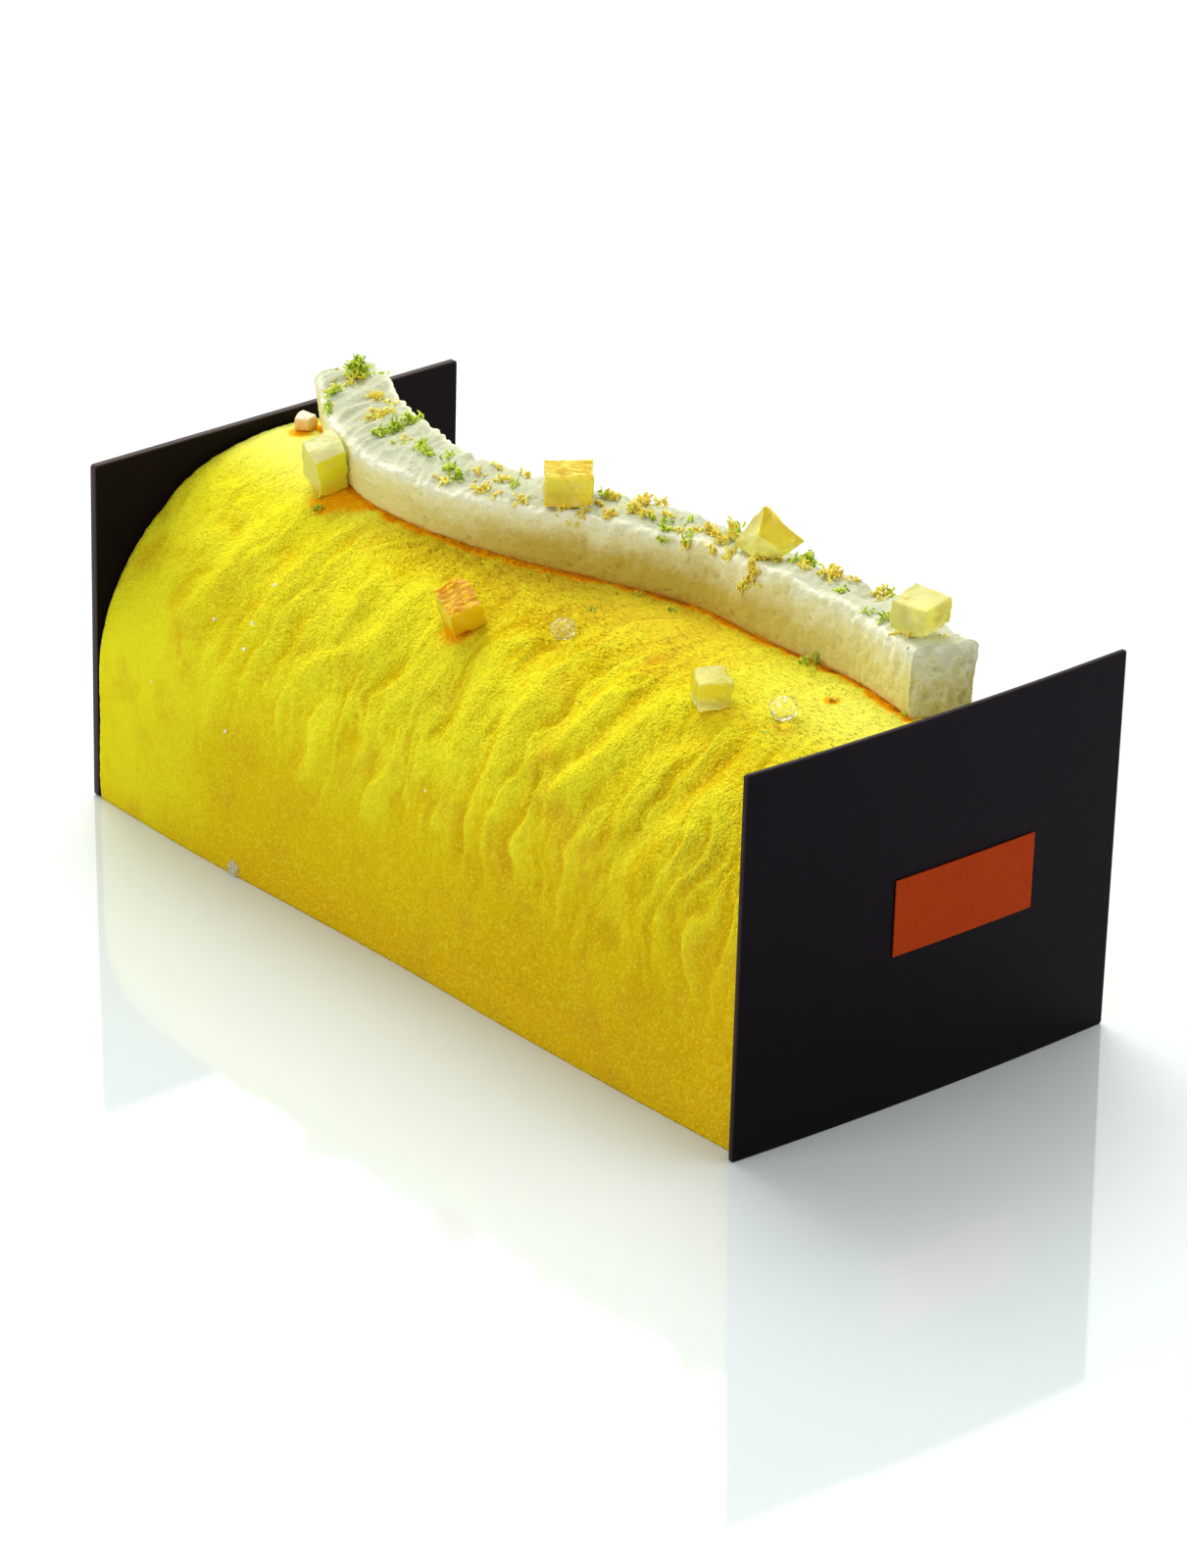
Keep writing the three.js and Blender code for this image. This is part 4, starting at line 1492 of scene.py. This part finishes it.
# left and right are painted light on the sides turned from and to the camera's right; low is a painted glow
# at the foot
CANDIES = (
    Candy("citrus_cube_leaning", "candied_pale", (-60.4, -11.1), (6.7, 6.9, 11.3), (74, 0, 18), 1,
          CandiedFinish("candied_leaning",
                        top=(0.96, 0.95, 0.46), left=(0.96, 0.93, 0.30), right=(0.98, 0.93, 0.05),
                        low=(0.99, 0.66, 0.01), clear=0.35)),
    Candy("citrus_cube_rind", "candied_golden", (-6.4, 1.9), (9, 8.6, 6), (49, -3, 2), 0,
          CandiedFinish("candied_rind",
                        top=(0.60, 0.41, 0.008), left=(0.95, 0.82, 0.10), right=(0.97, 0.86, 0.12),
                        low=(0.95, 0.66, 0.02), streak=(0.88, 0.74, 0.12), streaks=0.8, clear=0.45)),
    Candy("citrus_wedge", "candied_golden", (33.6, 13.4), (12.9, 7.5, 9), (50, 0, 0), 0,
          CandiedFinish("candied_wedge",
                        top=(0.84, 0.66, 0.04), left=(0.92, 0.88, 0.30), right=(0.92, 0.74, 0.02),
                        low=(0.97, 0.92, 0.20), streak=(0.72, 0.46, 0.02), streaks=0.5, clear=0.55)),
    Candy("citrus_chunk", "candied_pale", (74.9, 11.7), (8, 8, 5.7), (98, -7, 0), 0,
          CandiedFinish("candied_chunk",
                        top=(0.93, 0.89, 0.26), left=(0.93, 0.90, 0.34), right=(0.95, 0.82, 0.07),
                        low=(0.97, 0.92, 0.30), clear=0.6)),
    Candy("citrus_cube_glowing", "candied_amber", (-6.9, -22.3), (7, 9.4, 5.5), (70, 18, -1), 1,
          CandiedFinish("candied_glowing",
                        top=(0.60, 0.28, 0.0005), left=(0.94, 0.72, 0.03), right=(0.99, 0.66, 0.006),
                        low=(0.97, 0.46, 0.003), streak=(0.92, 0.62, 0.02), streaks=0.8, clear=0.3,
                        milk=0.08)),
    Candy("citrus_cube_clear", "candied_pale", (52, -14.8), (6.6, 6.2, 6.2), (59, 19, -3), 1,
          CandiedFinish("candied_clear",
                        top=(0.95, 0.92, 0.24), left=(0.96, 0.84, 0.06), right=(0.98, 0.92, 0.18),
                        low=(1.0, 0.98, 0.50), clear=0.62, milk=0.15)),
    Candy("citrus_nub", "candied_pink", (-84.6, 2.8), (3.6, 4.4, 3.2), (30, 0, 5), 1,
          CandiedFinish("candied_nub",
                        top=(0.92, 0.80, 0.62), left=(0.90, 0.70, 0.48), right=(0.92, 0.78, 0.56),
                        low=(0.94, 0.44, 0.02), streak=(0.90, 0.36, 0.20), streaks=0.5, clear=0.1)),
)


@dataclass
class CandiedPieces:
    """The candied citrus, each made from its node's solid."""

    voxel: float = 0.17
    swell: float = 0.04
    smoothing: int = 5
    wrinkle_depth: float = 0.26
    foot_height: float = 0.0032
    merge: float = 0.00001

    def build(self) -> list[Piece]:
        """Makes every piece."""
        return [self.make(candy, seed) for seed, candy in enumerate(CANDIES)]

    def make(self, candy: Candy, seed: int) -> Piece:
        """Makes one piece.

        Args:
            candy: what it is.
            seed: moves its wrinkles.

        Returns:
            The finished piece.
        """
        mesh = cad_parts[candy.node].data.copy()
        work = bmesh.new()
        work.from_mesh(mesh)
        bmesh.ops.remove_doubles(work, verts=work.verts, dist=self.merge)
        work.to_mesh(mesh)
        work.free()
        mesh.materials.clear()
        piece = put(f"candied_{candy.node.removeprefix('citrus_')}", mesh)
        remesh = piece.modifiers.new("Remesh", "REMESH")
        remesh.mode, remesh.voxel_size = "VOXEL", self.voxel * MM
        soft = piece.modifiers.new("Smooth", "SMOOTH")
        soft.factor, soft.iterations = 0.5, self.smoothing
        keep_result(piece)
        mesh = piece.data
        own = self.own_axes(mesh, candy)
        note(mesh, "own_place", own)
        self.rind_and_painted_light(mesh, candy)
        self.wrinkle(mesh, own, candy, seed)
        mesh.shade_smooth()
        mesh.materials.append(candy.finish.build())
        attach(piece, BODY)
        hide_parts(candy.node)
        return piece

    def own_axes(self, mesh: Mesh, candy: Candy) -> Array:
        """Places on the piece's own axes, from -1 to 1 on each, before it was turned.

        Args:
            mesh: the piece.
            candy: what it is.

        Returns:
            Rows of three places.
        """
        turn, tip, roll = (math.radians(a) for a in candy.turn)
        turned = Matrix.Rotation(turn, 3, "Z") @ Matrix.Rotation(tip, 3, "Y")
        turned = turned @ Matrix.Rotation(roll, 3, "X")
        turned = Matrix.Rotation(-LOG_FORM.slope(candy.at[1]) * candy.follow, 3, "X") @ turned
        low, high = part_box(candy.node)
        middle = np.array([candy.at[0] + CENTRING.x, candy.at[1] + CENTRING.y, (low.z + high.z) / 2 / MM])
        away = points_of(mesh) / MM - middle
        return (away @ np.array(turned)) / (np.array(candy.size) / 2)

    def rind_and_painted_light(self, mesh: Mesh, candy: Candy) -> None:
        """Paints each side as lit or shaded, adds a painted glow towards the foot, gives the top its rind
        colour, and marks the rind.

        Args:
            mesh: the piece.
            candy: what it is.
        """
        finish, normals, points = candy.finish, normals_of(mesh), points_of(mesh)
        # painted light: faces turned to the camera's right take the right colour, the rest the left, as lit
        # and shaded copies
        azimuth = math.radians(Studio.azimuth)
        right = eased(normals @ np.array([math.cos(azimuth), math.sin(azimuth), 0]), -0.2, 0.35)[:, None]
        top = eased(normals[:, 2], 0.45, 0.8)[:, None]
        foot = points[:, 2].min()
        # painted glow towards the foot
        low = eased(points[:, 2], foot + self.foot_height, foot)[:, None] * (1 - top)
        colour = np.array(finish.left) * (1 - right) + np.array(finish.right) * right
        colour = colour * (1 - top) + np.array(finish.top) * top
        note(mesh, "rind_and_painted_light", colour * (1 - low) + np.array(finish.low) * low)
        note(mesh, "rind", top[:, 0])

    def wrinkle(self, mesh: Mesh, own: Array, candy: Candy, seed: int) -> None:
        """Makes the cut sides slightly uneven, and the rind ridged.

        Args:
            mesh: the piece.
            own: places on its own axes.
            candy: what it is.
            seed: moves the wrinkles.
        """
        place, normals = points_of(mesh) / MM, normals_of(mesh)
        out = self.swell + self.wrinkle_depth * grain(place, (2.2, 2.2, 2.2), 10 + seed)
        out += 2.2 * self.wrinkle_depth * (grain(place, (4.5, 4.5, 4.5), 40 + seed) - 0.25)
        out += 0.4 * self.wrinkle_depth * grain(place, (0.8, 0.8, 0.8), 20 + seed)
        ridges = grain(own, (0.8, 0.22, 0.6), 30 + seed)
        out += candy.finish.streaks * eased(normals[:, 2], 0.6, 0.85) * 0.3 * ridges
        move_points(mesh, points_of(mesh) + normals * (out * MM)[:, None])


@dataclass
class JellyBeads:
    """The two clear beads on the log."""

    subdivisions: int = 5
    finish: JellyFinish = field(default_factory=JellyFinish)

    def build(self) -> list[Piece]:
        """Makes both beads from their nodes' boxes."""
        material = self.finish.build()
        return [self.make(node, material) for node in ("jelly_bead_mid", "jelly_bead_near")]

    def make(self, node: str, material: Material) -> Piece:
        """Makes one bead that fills its node's box.

        Args:
            node: the node's name.
            material: the jelly.

        Returns:
            The finished piece.
        """
        low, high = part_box(node)
        work = bmesh.new()
        bmesh.ops.create_icosphere(work, subdivisions=self.subdivisions, radius=1.0)
        middle, half = (low + high) / 2, (high - low) / 2
        for vert in work.verts:
            lump = 0.97 + 0.05 * noise.noise(vert.co * 2.3) + 0.02 * noise.noise(vert.co * 6)
            vert.co = middle + Vector(vert.co[i] * half[i] for i in range(3)) * lump
        mesh = mesh_of(node, work, material)
        mesh.shade_smooth()
        piece = put(f"clear_{node.removeprefix('jelly_')}", mesh)
        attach(piece, BODY)
        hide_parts(node)
        return piece


# Grains of sugar on the coat: X, girth from the front foot and half size
CRYSTALS = (
    (-50.4, 56.1, 0.9), (-49.6, 54.9, 0.6), (-51.0, 48.5, 0.8), (-50.4, 43.6, 0.55), (-49.3, 28.4, 0.5),
    (-60.5, 46.0, 0.4), (-33.0, 40.5, 0.35), (5.0, 36.0, 0.35), (-72.0, 30.0, 0.35),
)


@dataclass
class Scraps:
    """The chip of jelly at the log's foot, grains of sugar on the coat, and crumbs of chocolate."""

    chip_at: Place = (-47.6, -42.15, 1.75)
    chip_size: Place = (2.0, 0.95, 2.3)
    chip_finish: JellyFinish = JellyFinish(clear=(0.86, 0.80, 0.52), through=0.55)
    sugar_finish: JellyFinish = JellyFinish(clear=(0.98, 0.97, 0.66), through=0.05)
    crumbs: int = 16
    crumb_heights: Range = (19.0, 35.0)
    crumb_sizes: Range = (0.2, 0.5)
    flat_side: float = 0.8
    seed: int = 4

    def lump(self, work: bmesh.types.BMesh, middle: Array, size: Sequence[float], seed: float) -> None:
        """Adds an angular lump.

        Args:
            work: the mesh being made.
            middle: its place in millimetres.
            size: its half sizes.
            seed: moves its shape.
        """
        for vert in bmesh.ops.create_icosphere(work, subdivisions=2, radius=1.0)["verts"]:
            rough = 0.8 + 0.5 * noise.noise(vert.co * 1.4 + Vector((seed, 0, 0)))
            cut = [max(-self.flat_side, min(self.flat_side, place * 1.2)) for place in vert.co]
            away = [cut[axis] * rough * size[axis] for axis in range(3)]
            vert.co = Vector(in_frame(np.asarray(middle, float) + away))

    def build(self, chocolate: Material) -> list[Piece]:
        """Makes one piece of each kind.

        Args:
            chocolate: the plates' material.

        Returns:
            The sugar, the chip and the crumbs.
        """
        chip, crumbs = bmesh.new(), bmesh.new()
        self.lump(chip, np.array(self.chip_at), self.chip_size, 2.0)
        draw = random.Random(self.seed)
        for number in range(self.crumbs):
            z = draw.uniform(*self.crumb_heights)
            y = -LOG_FORM.half_width(90) - draw.uniform(0.0, 0.5)
            x = float(NEAR_PLATE.inner_face(y, z)) - draw.uniform(0.1, 0.5)
            self.lump(crumbs, np.array([x, y, z]), [draw.uniform(*self.crumb_sizes)] * 3, number)
        crystals = bmesh.new()
        for number, (x, girth, size) in enumerate(CRYSTALS):
            y, z = LOG_FORM.section(np.array([x]), np.array([girth]))
            self.lump(crystals, np.array([x, y[0], z[0]]), [size, size, size], number + 0.5)
        made = []
        rows = [("sugar_crystals", crystals, self.sugar_finish.build(), "clear_jelly")]
        rows += [("foot_chip", chip, self.chip_finish.build(), "clear_jelly")]
        rows += [("chocolate_crumbs", crumbs, chocolate, "dark_chocolate")]
        for name, work, finish, slot in rows:
            piece = put(name, mesh_of(name, work, finish))
            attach(piece, BODY)
            made.append(piece)
        return made


class Zest(Enum):
    """Kind of zest."""

    LIME = "lime_zest"
    LEMON = "lemon_zest"


# Bunches of zest on the bar: place along X, share across, count of shreds, spread and height in mm
LIME_ON_BAR = (
    (-76.2, 0.08, 190, 2.0, 4.0), (-77.5, 0.25, 10, 1.6, 1.0), (-74.0, 0.42, 6, 0.8, 0.5),
    (-67.8, -0.46, 34, 1.2, 1.3), (-71.0, -0.34, 44, 1.3, 1.4), (-66.0, -0.48, 8, 0.7, 0.4),
    (-52.3, -0.15, 44, 1.4, 1.1), (-52.8, 0.08, 44, 1.4, 1.3), (-53.4, 0.30, 44, 1.4, 1.3),
    (-54.0, 0.46, 14, 0.9, 0.8), (-57.0, 0.12, 4, 1.0, 0.3), (-43.6, 0.08, 34, 1.4, 1.0),
    (-40.2, 0.02, 26, 1.4, 0.9), (-36.4, 0.15, 14, 1.3, 0.5), (-31.8, -0.12, 34, 1.3, 0.9),
    (-29.1, -0.17, 24, 1.2, 0.8), (-47.0, -0.05, 5, 1.2, 0.3), (-17.8, -0.12, 9, 1.3, 0.3),
    (-18.1, 0.05, 8, 1.2, 0.3), (-3.0, 0.28, 24, 1.0, 0.9), (-5.0, 0.42, 6, 0.8, 0.3),
    (11.2, -0.42, 22, 0.9, 0.7), (9.7, -0.12, 14, 1.0, 0.5), (7.6, -0.2, 8, 1.0, 0.4),
    (12.6, 0.1, 9, 0.7, 0.4), (16.0, -0.42, 8, 0.7, 0.3), (20.2, 0.22, 46, 1.3, 2.6),
    (22.0, 0.02, 16, 1.1, 1.0), (36.4, 0.36, 18, 1.0, 2.0), (38.3, 0.26, 46, 1.3, 2.4),
    (38.6, -0.02, 14, 1.1, 0.6), (51.8, -0.25, 16, 1.2, 0.4), (61.4, -0.4, 12, 0.9, 0.4),
    (66.6, -0.34, 18, 1.0, 0.8), (66.0, -0.2, 6, 0.8, 0.4), (56.5, 0.46, 22, 1.0, 1.6),
)
LEMON_ON_BAR = (
    (-82.0, -0.12, 12, 1.2, 0.4), (-74.5, 0.0, 26, 2.4, 0.9), (-73.5, -0.3, 8, 1.4, 0.3),
    (-66.7, 0.18, 34, 1.4, 0.9), (-64.0, 0.32, 8, 1.3, 0.3), (-59.4, 0.0, 30, 1.5, 0.9),
    (-58.6, 0.18, 20, 1.3, 0.7), (-48.0, 0.0, 8, 1.4, 0.3), (-30.6, -0.35, 18, 1.5, 0.6),
    (-27.5, 0.1, 10, 1.5, 0.4), (-22.3, -0.32, 30, 1.7, 0.9), (-21.5, 0.03, 20, 1.6, 0.8),
    (-19.0, -0.42, 14, 1.2, 0.6), (-14.7, -0.4, 26, 1.5, 0.8), (-19.7, 0.42, 18, 1.3, 0.9),
    (-25.5, 0.3, 8, 1.4, 0.3), (-6.0, -0.46, 18, 1.1, 0.6), (-2.5, -0.46, 20, 1.1, 0.7),
    (1.7, -0.4, 34, 1.2, 1.0), (-2.7, 0.03, 12, 0.9, 0.5), (-1.7, 0.3, 22, 1.2, 0.9),
    (4.3, -0.12, 52, 1.5, 1.6), (6.6, -0.16, 34, 1.2, 1.4), (3.7, 0.33, 56, 1.5, 2.0),
    (6.0, 0.42, 20, 1.1, 1.1), (9.6, 0.05, 8, 1.3, 0.3), (13.0, -0.3, 8, 1.3, 0.3),
    (15.6, -0.2, 16, 1.0, 0.6), (17.6, -0.08, 54, 1.4, 1.4), (19.4, -0.2, 22, 1.2, 0.8),
    (22.8, -0.14, 50, 0.8, 4.6), (23.4, -0.34, 26, 1.1, 1.2), (27.4, -0.46, 14, 0.9, 0.4),
    (34.4, -0.14, 44, 1.4, 1.3), (33.8, -0.34, 26, 1.1, 0.7), (41.6, -0.06, 16, 1.3, 0.6),
    (46.3, 0.1, 80, 1.9, 1.4), (44.4, 0.3, 16, 1.3, 0.8), (49.6, 0.3, 8, 1.3, 0.3),
    (55.1, 0.38, 40, 1.3, 1.6), (57.0, 0.2, 8, 1.2, 0.3), (72.6, -0.4, 18, 1.2, 0.5),
    (76.9, -0.36, 10, 1.1, 0.3), (77.4, 0.12, 8, 1.0, 0.3), (69.5, -0.1, 6, 1.2, 0.3),
)
# Bunches that hang on the bar's front side: place along X, share up, count and spread
LIME_HANGING = ((11.8, 0.9, 12, 0.5), (51.7, 0.06, 16, 0.8), (16.4, 0.95, 6, 0.4))
LEMON_HANGING = (
    (16.4, 0.89, 16, 0.6), (34.9, 0.97, 20, 0.9), (35.8, 0.84, 40, 1.0), (34.9, 0.71, 20, 0.8),
    (33.8, 0.59, 30, 0.9), (28.6, 0.95, 18, 0.7), (23.4, 0.93, 12, 0.6),
)
# Bunches on the log: X, Y, count and spread
LIME_ON_LOG = (
    (10.4, -6.7, 9, 0.5), (21.5, 2.3, 10, 0.6), (51.6, 6.6, 12, 0.7), (-57.4, -14.9, 14, 0.5),
    (-60.0, -13.0, 4, 0.3), (65.5, -15.0, 4, 0.3), (-42.5, -11.5, 3, 0.3), (12.4, 2.4, 5, 0.5),
    (57, 4, 3, 0.4), (78, 5.0, 3, 0.4),
)
LEMON_ON_LOG = ((66.5, -0.3, 12, 0.7),)


@dataclass
class Zests:
    """Shreds of zest, scattered in bunches on the bar and the log."""

    carriers: Sequence[Piece]
    seed: int = 7
    longest_drop: float = 3.0
    curl: float = 2.2
    lime_size: Range = (1.15, 0.36)
    lemon_size: Range = (1.25, 0.42)
    lime: ZestFinish = ZestFinish("lime_zest", (0.66, 0.79, 0.05), (0.20, 0.35, 0.008))
    lemon: ZestFinish = ZestFinish("lemon_zest", (0.93, 0.83, 0.15), (0.82, 0.54, 0.02))

    def build(self) -> list[Piece]:
        """Makes one piece for each kind of zest.

        Returns:
            The pieces.
        """
        trees = [self.tree(piece) for piece in self.carriers]
        spots = self.on_bar(LIME_ON_BAR) + self.on_log(LIME_ON_LOG)
        places = self.landed(spots, trees, 3) + self.hanging(LIME_HANGING, 4)
        made = [self.scatter(Zest.LIME, places, self.lime, self.lime_size)]
        spots = self.on_bar(LEMON_ON_BAR) + self.on_log(LEMON_ON_LOG)
        places = self.landed(spots, trees, 5) + self.hanging(LEMON_HANGING, 6)
        return made + [self.scatter(Zest.LEMON, places, self.lemon, self.lemon_size)]

    def tree(self, piece: Piece) -> BVHTree:
        """Search tree of a piece's surface."""
        corners = [tuple(face.vertices) for face in piece.data.polygons]
        return BVHTree.FromPolygons([vert.co.copy() for vert in piece.data.vertices], corners)

    def on_bar(self, rows: Sequence[tuple]) -> list[tuple]:
        """Bunches on the bar's top, each with its middle, count, spread and height."""
        form = BAR_FORM
        return [(in_frame(form.point(form.share_at(x), v * 0.96, 1.0)), *rest) for x, v, *rest in rows]

    def on_log(self, rows: Sequence[tuple]) -> list[tuple]:
        """Bunches on the log, each with its middle, count, spread and height."""
        return [(in_frame([x, y, float(LOG_FORM.height(x, y))]), *rest, 0.3) for x, y, *rest in rows]

    def landed(self, spots: Sequence[tuple], trees: Sequence[BVHTree], seed: int) -> list[Vector]:
        """Places of shreds that lie on what carries them, heaped towards the middle of a bunch.

        Args:
            spots: middle, count, spread and height of each bunch.
            trees: search trees of the surfaces.
            seed: seed of the scatter.

        Returns:
            The places.
        """
        draw = random.Random(self.seed + seed)
        places = []
        for middle, count, spread, height in spots:
            for _ in range(count):
                away = Vector((draw.gauss(0, 1), draw.gauss(0, 1), 0)) * 0.5
                place = Vector(middle) + away * spread * MM
                above = place + Vector((0, 0, 0.02))
                hits = [tree.ray_cast(above, Vector((0, 0, -1)))[0] for tree in trees]
                tops = [hit.z for hit in hits if hit is not None]
                if tops and max(tops) < middle[2] - self.longest_drop * MM:
                    continue
                lift = 0.15 + draw.random() * height * math.exp(-away.length_squared)
                places.append(Vector((place.x, place.y, max(tops, default=place.z) + lift * MM)))
        return places

    def hanging(self, rows: Sequence[tuple], seed: int) -> list[Vector]:
        """Places of shreds that hang on the bar's front side.

        Args:
            rows: place along X, share up, count and spread of each bunch.
            seed: seed of the scatter.

        Returns:
            The places.
        """
        draw = random.Random(self.seed + seed)
        places = []
        for x, h, count, spread in rows:
            for _ in range(count):
                t = BAR_FORM.share_at(x + draw.gauss(0, 0.5) * spread)
                up = min(0.99, h + draw.gauss(0, 0.5) * spread / 13)
                away = np.array([0, -draw.uniform(0.05, 0.6), 0])
                places.append(Vector(in_frame(BAR_FORM.point(t, -0.5, up) + away)))
        return places

    def shred_recipe(self) -> Recipe:
        """Draws the tree that puts a curled shred on every point, turned and sized by chance.

        Returns:
            The tree.
        """
        recipe = Recipe("zest_shreds")
        length, width = recipe.input("Length"), recipe.input("Width")
        curl, seed = recipe.input("Curl"), recipe.input("Seed", "Int")
        radius = recipe.math("DIVIDE", length, curl)
        arc = recipe.add("GeometryNodeCurveArc", {"Resolution": 5, "Radius": radius, "Sweep Angle": curl})
        profile = {"Width": width, "Height": recipe.times(width, 0.5)}
        side = recipe.add("GeometryNodeCurvePrimitiveQuadrilateral", profile)
        taper = recipe.add("GeometryNodeSplineParameter").outputs["Factor"]
        taper = recipe.math("ABSOLUTE", recipe.less(recipe.times(taper, 2.0), 1.0))
        thin = recipe.less(1.0, recipe.times(recipe.math("POWER", taper, 3.0), 0.7))
        inputs = {"Curve": arc.outputs["Curve"], "Profile Curve": side.outputs[0]}
        shred = recipe.add("GeometryNodeCurveToMesh", inputs | {"Fill Caps": True, "Scale": thin})
        low, high = (0.5, 0.6, 0.6), (1.5, 1.4, 1.5)
        inputs = {0: low, 1: high, "Seed": seed}
        size = recipe.add("FunctionNodeRandomValue", inputs, data_type="FLOAT_VECTOR").outputs[0]
        full = (2 * math.pi,) * 3
        inputs = {0: (0.0, 0.0, 0.0), 1: full, "Seed": recipe.plus(seed, 1)}
        spin = recipe.add("FunctionNodeRandomValue", inputs, data_type="FLOAT_VECTOR").outputs[0]
        inputs = {"Geometry": shred.outputs[0], "Translation": (-0.0005, 0.0, 0.0)}
        middle = recipe.add("GeometryNodeTransform", inputs).outputs[0]
        inputs = {"Points": recipe.entry.outputs[0], "Instance": middle, "Rotation": spin, "Scale": size}
        many = recipe.add("GeometryNodeInstanceOnPoints", inputs).outputs[0]
        inputs = {2: 0.0, 3: 1.0, "Seed": recipe.plus(seed, 2)}
        tone = recipe.add("FunctionNodeRandomValue", inputs, data_type="FLOAT").outputs[1]
        inputs = {"Geometry": many, "Name": "tone", "Value": tone}
        marked = recipe.add("GeometryNodeStoreNamedAttribute", inputs, data_type="FLOAT", domain="INSTANCE")
        recipe.end(marked.outputs[0])
        return recipe

    def scatter(self, kind: Zest, places: list[Vector], finish: ZestFinish, shred: Range) -> Piece:
        """Makes one kind of zest.

        Args:
            kind: which zest it is.
            places: where its shreds lie.
            finish: its look.
            shred: length and width of a shred in mm.

        Returns:
            The finished piece.
        """
        mesh = bpy.data.meshes.new(kind.value)
        mesh.from_pydata(places, [], [])
        piece = put(kind.value, mesh)
        length, width = (size * MM for size in shred)
        values = {"Length": length, "Width": width, "Curl": self.curl, "Seed": self.seed}
        self.shred_recipe().run(piece, values | {"Finish": finish.build()})
        piece.data.shade_smooth()
        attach(piece, BODY)
        return piece


# The studio


@dataclass(frozen=True)
class Lamp:
    """A soft square light: its place and width in metres, and its power in watts."""

    name: str
    place: Place
    size: float
    power: float

    def build(self) -> None:
        """Hangs the light so that it looks at the cake."""
        data = bpy.data.lights.new(self.name, "AREA")
        data.shape, data.size, data.energy = "SQUARE", self.size, self.power
        lamp = bpy.data.objects.new(self.name, data)
        lamp.location = self.place
        toward = Vector((0, 0, 0.03)) - Vector(self.place)
        lamp.rotation_euler = toward.to_track_quat("-Z", "Y").to_euler()
        bpy.context.scene.collection.objects.link(lamp)


@dataclass(frozen=True)
class Studio:
    """Camera, floor and soft lights."""

    azimuth: float = 49.85
    elevation: float = 25.30
    roll: float = 0.99
    target: Place = (14.5, -9.1, 32.0)
    distance: float = 1103.0
    focal_px: float = 6373.0
    frame_px: tuple[int, int] = (1211, 1600)
    bright_side: Place = (-0.75, 0.62, 0.22)
    surround: Range = (0.30, 1.5)
    floor_reach: float = 3.0
    lamps: tuple[Lamp, ...] = (
        Lamp("key", (-0.75, 0.32, 1.05), 0.9, 12.0),
        Lamp("front", (0.0, -1.0, 0.7), 0.9, 5.8),
        Lamp("side", (0.95, 0.62, 0.55), 1.0, 5.0),
    )

    def camera(self) -> None:
        """Places the camera where the photograph was taken from."""
        a, e, r = (math.radians(v) for v in (self.azimuth, self.elevation, self.roll))
        back = Vector((math.sin(a) * math.cos(e), -math.cos(a) * math.cos(e), math.sin(e)))
        right = Vector((0, 0, 1)).cross(back).normalized()
        up = back.cross(right)
        rolled_right = math.cos(r) * right + math.sin(r) * up
        rolled_up = math.cos(r) * up - math.sin(r) * right
        data = bpy.data.cameras.new("camera")
        data.sensor_width = 36.0
        data.lens = self.focal_px / max(self.frame_px) * data.sensor_width
        data.clip_start, data.clip_end = 0.01, 20.0
        camera = bpy.data.objects.new("camera", data)
        bpy.context.scene.collection.objects.link(camera)
        place = (Vector(self.target) + CENTRING + back * self.distance) * MM
        turn = Matrix((rolled_right, rolled_up, back)).transposed().to_4x4()
        camera.matrix_world = Matrix.Translation(place) @ turn
        bpy.context.scene.camera = camera

    def floor(self) -> None:
        """Lays the pale table top."""
        work = bmesh.new()
        bmesh.ops.create_grid(work, x_segments=8, y_segments=8, size=self.floor_reach)
        floor = put("floor", mesh_of("floor", work, FloorFinish().build()))

    def world(self) -> None:
        """Studio surroundings: bright behind and to the left, dim on the right, white to the camera."""
        world = bpy.data.worlds.new("studio")
        bpy.context.scene.world = world
        world.use_nodes = True
        sheet = Sheet(world.node_tree)
        direction = sheet.add("ShaderNodeTexCoord").outputs["Generated"]
        inputs = {0: direction, 1: self.bright_side}
        toward = sheet.add("ShaderNodeVectorMath", inputs, operation="DOT_PRODUCT")
        glow = sheet.span(toward.outputs["Value"], 0.0, 0.8, self.surround)
        seen = sheet.add("ShaderNodeLightPath").outputs["Is Camera Ray"]
        strength = sheet.plus(sheet.times(glow, sheet.less(1.0, seen)), seen)
        background = world.node_tree.nodes["Background"]
        background.inputs["Color"].default_value = (1.0, 1.0, 1.0, 1.0)
        sheet.feed(background.inputs["Strength"], strength)

    def build(self) -> None:
        """Builds the studio."""
        self.camera()
        self.floor()
        self.world()
        for lamp in self.lamps:
            lamp.build()
        view = bpy.context.scene.view_settings
        view.view_transform, view.look = "Standard", "None"


def main() -> None:
    """Builds the studio and every piece, in order."""
    logging.basicConfig(level=logging.INFO, format="%(name)s: %(message)s")
    Studio().build()
    log = Log().build()
    bar = MeringueBar().build()
    chocolate = ChocolateFinish().build()
    plates = [ChocolatePlate(NEAR_PLATE, "end_plate_near", "near_plate", cut_tone=0.5)]
    plates += [ChocolatePlate(FAR_PLATE, "end_plate_far", "far_plate")]
    pieces = [log, bar] + [plate.build(chocolate) for plate in plates]
    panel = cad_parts["print_panel"]
    panel.data.materials.clear()
    panel.data.materials.append(PrintFinish().build())
    pieces += CandiedPieces().build() + JellyBeads().build() + Scraps().build(chocolate)
    pieces += Zests([log, bar]).build()
    for piece in pieces:
        LOG.info("%s: %d faces", piece.name, len(piece.data.polygons))


if __name__ == "__main__":
    main()
